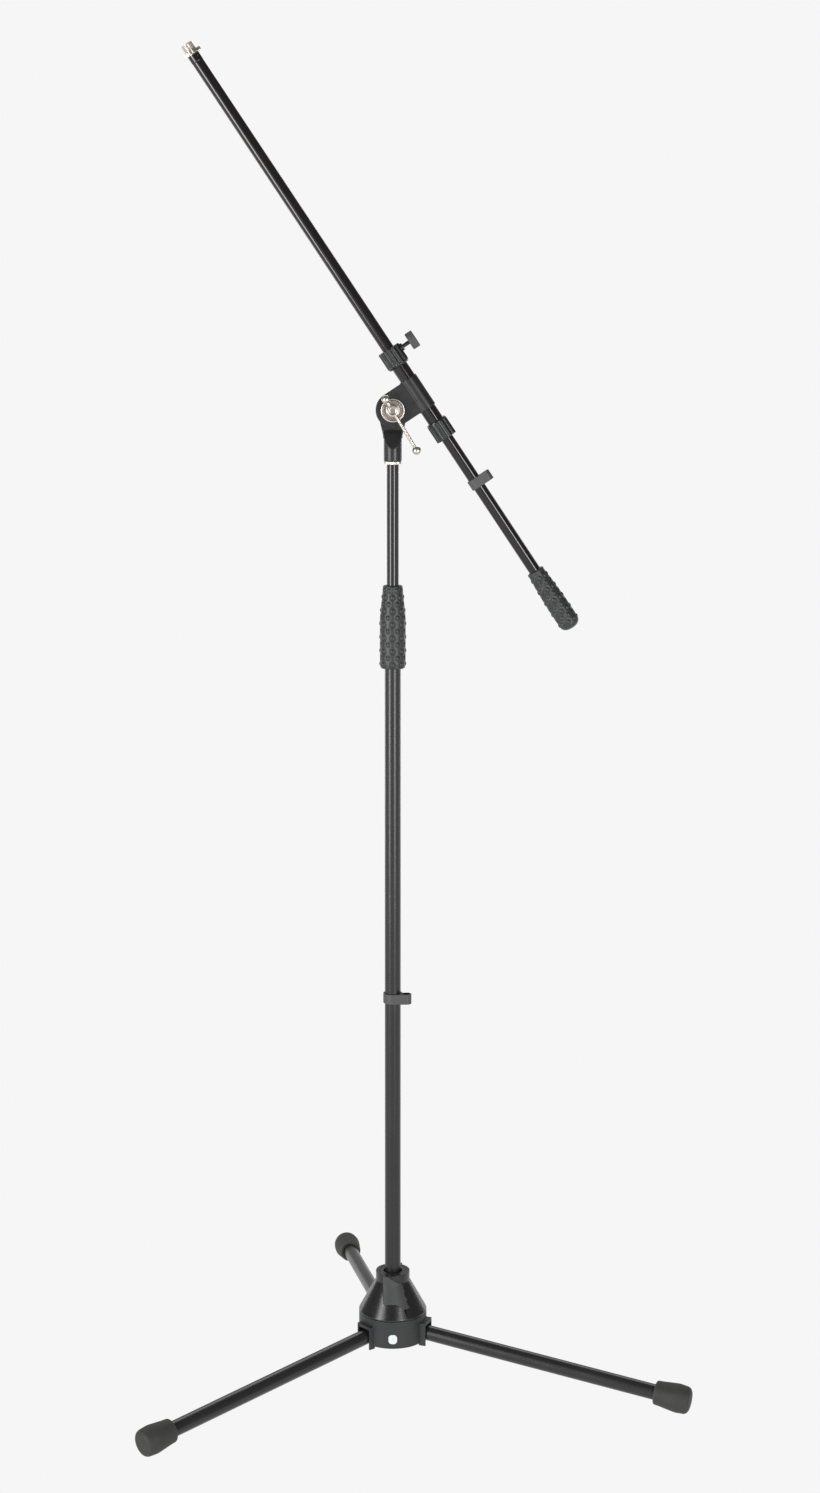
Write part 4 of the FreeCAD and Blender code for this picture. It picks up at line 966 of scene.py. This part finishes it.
# ---- Boom tube ---------------------------------------------------------------
# Drawn steel tube in the same gloss enamel, swaged out a little over its last centimetre and
# punched with one round dimple that keeps the end insert in.
boom_back, boom_front = -335.0, 489.0
boom_bore = 6.3
swage_length = 10.0
swage_radius = 7.75
boom_sides = 96
dimple_station = 484.5
dimple_turn = math.radians(-62)      # from the side that faces away from the mast
dimple_size = 1.5
dimple_depth = 0.55
dimple_rows = 0.35                   # height of the grid's rows round the dimple
outline = softened([
    (boom_bore, boom_back, 0.2),
    (tube_radius, boom_back, 0.3),
    (tube_radius, boom_front - swage_length, 0.8),
    (swage_radius, boom_front - swage_length + 1.0, 0.8),
    (swage_radius, boom_front, 0.5),
    (boom_bore, boom_front, 0.2),
])
dense = np.arange(boom_front - swage_length + 2.0, boom_front - 1.2, dimple_rows)
place_at = np.argmax(outline[:, 1] > boom_front - 1.0)
outline = np.insert(outline, place_at, np.column_stack(
    [np.full_like(dense, swage_radius), dense, np.zeros_like(dense)]), axis=0)
angle = 2 * np.pi * np.arange(boom_sides) / boom_sides
aside = swage_radius * ((angle - dimple_turn + np.pi) % (2 * np.pi) - np.pi)
away = np.hypot(aside[None, :], outline[:, 1:2] - dimple_station)
outer = outline[:, :1] > tube_radius
dent = dimple_depth * np.clip(1 - (away / dimple_size) ** 2, 0, 1) * outer
boom = shell("boom_tube_enamelled", turned(outline[:, :1] - dent, outline[:, 1], BOOM, boom_sides),
             gloss_tube, ring=True)
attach(boom, "boom")
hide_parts("boom_tube")

# ---- Boom grip ---------------------------------------------------------------
# The rubber handle on the boom's lower end, in the mast grip's rubber and dots, fatter towards
# its closed and rounded end.
handle_near, handle_end = -262.0, -347.0
handle_length = handle_near - handle_end
handle_start_radius = 10.5
handle_radius = 13.15
handle_rows = 9
handle_row_pitch = 8.1
handle_first = 10.0
handle_sides = 160
handle_bore = 7.52
handle_pocket = 10.0                 # solid rubber beyond the tube's end
mouth_rounding = 1.2
lip_height = 0.35
lip_length = 3.0
swell_share = 0.72                   # the handle is fattest this share of its length along
toe_length = 12.0
toe_power, toe_fullness = 3.2, 2.2   # the toe is radius (1 - share^toe_power)^(1 / toe_fullness)
fade_end, fade_length = 7.0, 3.0     # the dots end this far from the toe, faded over this length
level = np.r_[np.linspace(0, 2, 8), np.linspace(2.4, handle_length - toe_length - 0.5, 128),
              handle_length - toe_length * np.cos(np.linspace(0.0, np.pi / 2, 32))]
share = np.clip(level / (swell_share * handle_length), 0, 1)
radius = handle_start_radius + (handle_radius - handle_start_radius) * np.sin(share * np.pi / 2)
toe = np.clip((level - (handle_length - toe_length)) / toe_length, 0, 1)
radius = radius * (1 - toe ** toe_power) ** (1 / toe_fullness)
radius = radius - rounded_end(level, mouth_rounding) + lip_height * (level < lip_length)
height, moat = dotted(level, radius, handle_first, handle_row_pitch, handle_rows, handle_sides)
fade = np.clip((handle_length - fade_end - level) / fade_length, 0, 1)[:, None]
outside = np.maximum(radius[:, None] + height * fade, 0)
outside[-1] = 0.0
ends = np.ones((1, handle_sides))
profile = np.vstack([0 * ends, handle_bore * ends, handle_bore * ends, outside])
pocket_end = handle_length - handle_pocket
level = np.r_[pocket_end, pocket_end, 0.0, level] - handle_near
moat = np.vstack([0 * ends, 0 * ends, 0 * ends, moat * fade])
handle = shell("boom_grip_rubber", turned(profile, level, BACK, handle_sides), grip_rubber,
               moat=moat)
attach(handle, "boom")
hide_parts("boom_grip")

# ---- Microphone thread and lock nut ------------------------------------------
# The adapter that a microphone clip screws on, and the nut that locks it: brass bar, turned and
# threaded, nickel plated. The nut has small lobes and two ears for finger and thumb.
thread_from, thread_to = 494.64, 504.04
thread_radius = 7.94
thread_pitch = 0.94                  # 27 turns to the inch
thread_depth = 0.35
thread_bore = 4.75
plain_end = 0.4                      # without thread at each end
crest_highlight_height = 0.25                   # the crests get a painted highlight, with some wear, over this height
shank_from = 489.54
shank_radius = 7.3
thread_sides = 96
rows_per_turn = 8
level = np.arange(thread_from + plain_end, thread_to - plain_end, thread_pitch / rows_per_turn)
angle = 2 * np.pi * np.arange(thread_sides) / thread_sides
wound = (level[:, None] / thread_pitch - angle[None, :] / (2 * np.pi)) % 1.0
groove = thread_depth * (1 - np.abs(2 * wound - 1)) ** 1.2
threaded = thread_radius - groove
ends = np.ones((1, thread_sides))
outer_root = (thread_radius - thread_depth) * ends
profile = np.vstack([thread_bore * ends, shank_radius * ends, shank_radius * ends, outer_root,
                     threaded, outer_root, (thread_bore + 1.0) * ends, thread_bore * ends])
level = np.r_[shank_from, shank_from, thread_from - 0.3, thread_from, level, thread_to,
              thread_to, thread_to - 0.8]
# mask of the crests for the nickel's painted edge highlight
crests = np.clip((profile - thread_radius + crest_highlight_height) / crest_highlight_height, 0, 1)
adapter = shell("microphone_thread", turned(profile, level, BOOM, thread_sides), nickel,
                ring=True, edge=crests)
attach(adapter, "boom")
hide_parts("thread_adapter")

nut_from, nut_to = 489.84, 494.24
nut_radius = 9.4
nut_bore = 7.56
nut_lobes = 10
lobe_depth = 0.7
ear_reach, ear_radius = 9.6, 2.6
nut_sides = 240
angle = 2 * np.pi * np.arange(nut_sides) / nut_sides
wavy = nut_radius - lobe_depth * (1 - np.cos(nut_lobes * angle)) / 2
offset = np.abs(np.sin(angle)) * ear_reach
ear = ear_reach * np.abs(np.cos(angle)) + np.sqrt(np.clip(ear_radius ** 2 - offset ** 2, 0, None))
rim = np.where(offset < ear_radius, np.maximum(ear, wavy), wavy)
inset = softened([                   # share of the way from the bore to the rim, level, rounding
    (0.0, nut_from, 0.2),
    (1.0, nut_from, 0.7),
    (1.0, nut_to, 0.7),
    (0.0, nut_to, 0.2),
])
profile = nut_bore + (rim[None, :] - nut_bore) * inset[:, :1]
nut = shell("thread_lock_nut_turned", turned(profile, inset[:, 1], BOOM, nut_sides), nickel,
            ring=True, edge=inset[:, 2])
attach(nut, "lock_nut")
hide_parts("thread_lock_nut")

# ---- Floor, light and camera -------------------------------------------------
# A pale floor and an equally pale backdrop, two tall soft boxes at the front, one at each back
# corner and a wide one above the back, and a camera at chest height.
backdrop = srgb("#f6f6f6")
floor_size = 60.0
floor_mesh = bpy.data.meshes.new("floor")
half = floor_size / 2
floor_mesh.from_pydata(
    [(-half, -half, 0), (half, -half, 0), (half, half, 0), (-half, half, 0)], [], [(0, 1, 2, 3)])
floor = placed("floor", floor_mesh)

# Pale matt paper that glows as the backdrop does, with a faint painted shadow close under an
# object. It has the backdrop's colour, so the camera isn't shown it, and legs folded below it stay
# in sight.
floor_finish, tree, _ = blank("paper_pale_matt")
near = add(tree, "AmbientOcclusion", {"Distance": 0.05}, samples=8)
shade = add(tree, "MapRange", {"Value": (near, "AO"), "To Min": 0.95, "To Max": 1.0})
light = add(tree, "Emission", {"Color": backdrop, "Strength": (shade, "Result")})
add(tree, "OutputMaterial", {"Surface": (light, "Emission")})
floor_finish.cycles.emission_sampling = "NONE"
floor.visible_camera = False
floor_mesh.materials.append(floor_finish)

# The backdrop is even to the camera. The object sees a dimmer room, brighter behind it and
# below the floor's level.
world = bpy.data.worlds.new("studio")
bpy.context.scene.world = world
world.use_nodes = True
tree = world.node_tree
tree.nodes.clear()
seen = add(tree, "LightPath")
way = add(tree, "TexCoord")
split = add(tree, "SeparateXYZ", {0: (way, "Generated")})
behind = add(tree, "MapRange", {"Value": (split, "Y"), "From Min": 0.75, "From Max": 0.95,
                                "To Min": 0.22, "To Max": 0.5})
below = add(tree, "MapRange", {"Value": (split, "Z"), "From Min": -0.02, "From Max": -0.2,
                               "To Min": 0.0, "To Max": 0.9})
around = add(tree, "Math", {0: (behind, "Result"), 1: (below, "Result")})
power = add(tree, "MapRange", {"Value": (seen, "Is Camera Ray"),
                               "To Min": (around, "Value"), "To Max": 1.0})
sky = add(tree, "Background", {"Color": backdrop, "Strength": (power, "Result")})
add(tree, "OutputWorld", {"Surface": (sky, "Background")})

# Each soft box: name, degrees round from the front and up, metres away, wide and high, watts.
target = np.array([0.0, 0.0, 0.85])
for name, azimuth, lift, distance, width, height, power in (
        ("left_box", -46.0, 0.0, 3.0, 1.0, 2.8, 88.0),
        ("right_box", 30.0, 0.0, 3.0, 0.7, 2.3, 56.0),
        ("back_left_box", -140.0, 0.0, 3.2, 0.6, 2.4, 12.0),
        ("back_right_box", 140.0, 0.0, 3.2, 0.6, 2.4, 12.0),
        ("back_top_box", 180.0, 38.0, 3.2, 2.6, 1.6, 34.0)):
    lamp = bpy.data.lights.new(name, "AREA")
    lamp.shape = "RECTANGLE"
    lamp.size = width
    lamp.size_y = height
    lamp.energy = power
    box = placed(name, lamp)
    turn, rise = math.radians(azimuth), math.radians(lift)
    away = np.array([math.cos(rise) * math.sin(turn), -math.cos(rise) * math.cos(turn),
                     math.sin(rise)])
    box.location = target + distance * away
    box.rotation_euler = (math.radians(90 - lift), 0, turn)
    box.visible_camera = False

camera = bpy.data.cameras.new("camera")
camera.sensor_width = 36.0
camera.lens = 60.9
camera.shift_x = 0.0111
camera.shift_y = -0.1119
camera.clip_end = 100.0
viewpoint = placed("camera", camera)
viewpoint.location = (0.0008, -3.0965, 1.3790)
camera_dip = 6.692                   # degrees below level
viewpoint.rotation_euler = (math.radians(90 - camera_dip), 0.0, 0.0)
bpy.context.scene.camera = viewpoint
bpy.context.scene.view_settings.view_transform = "Standard"
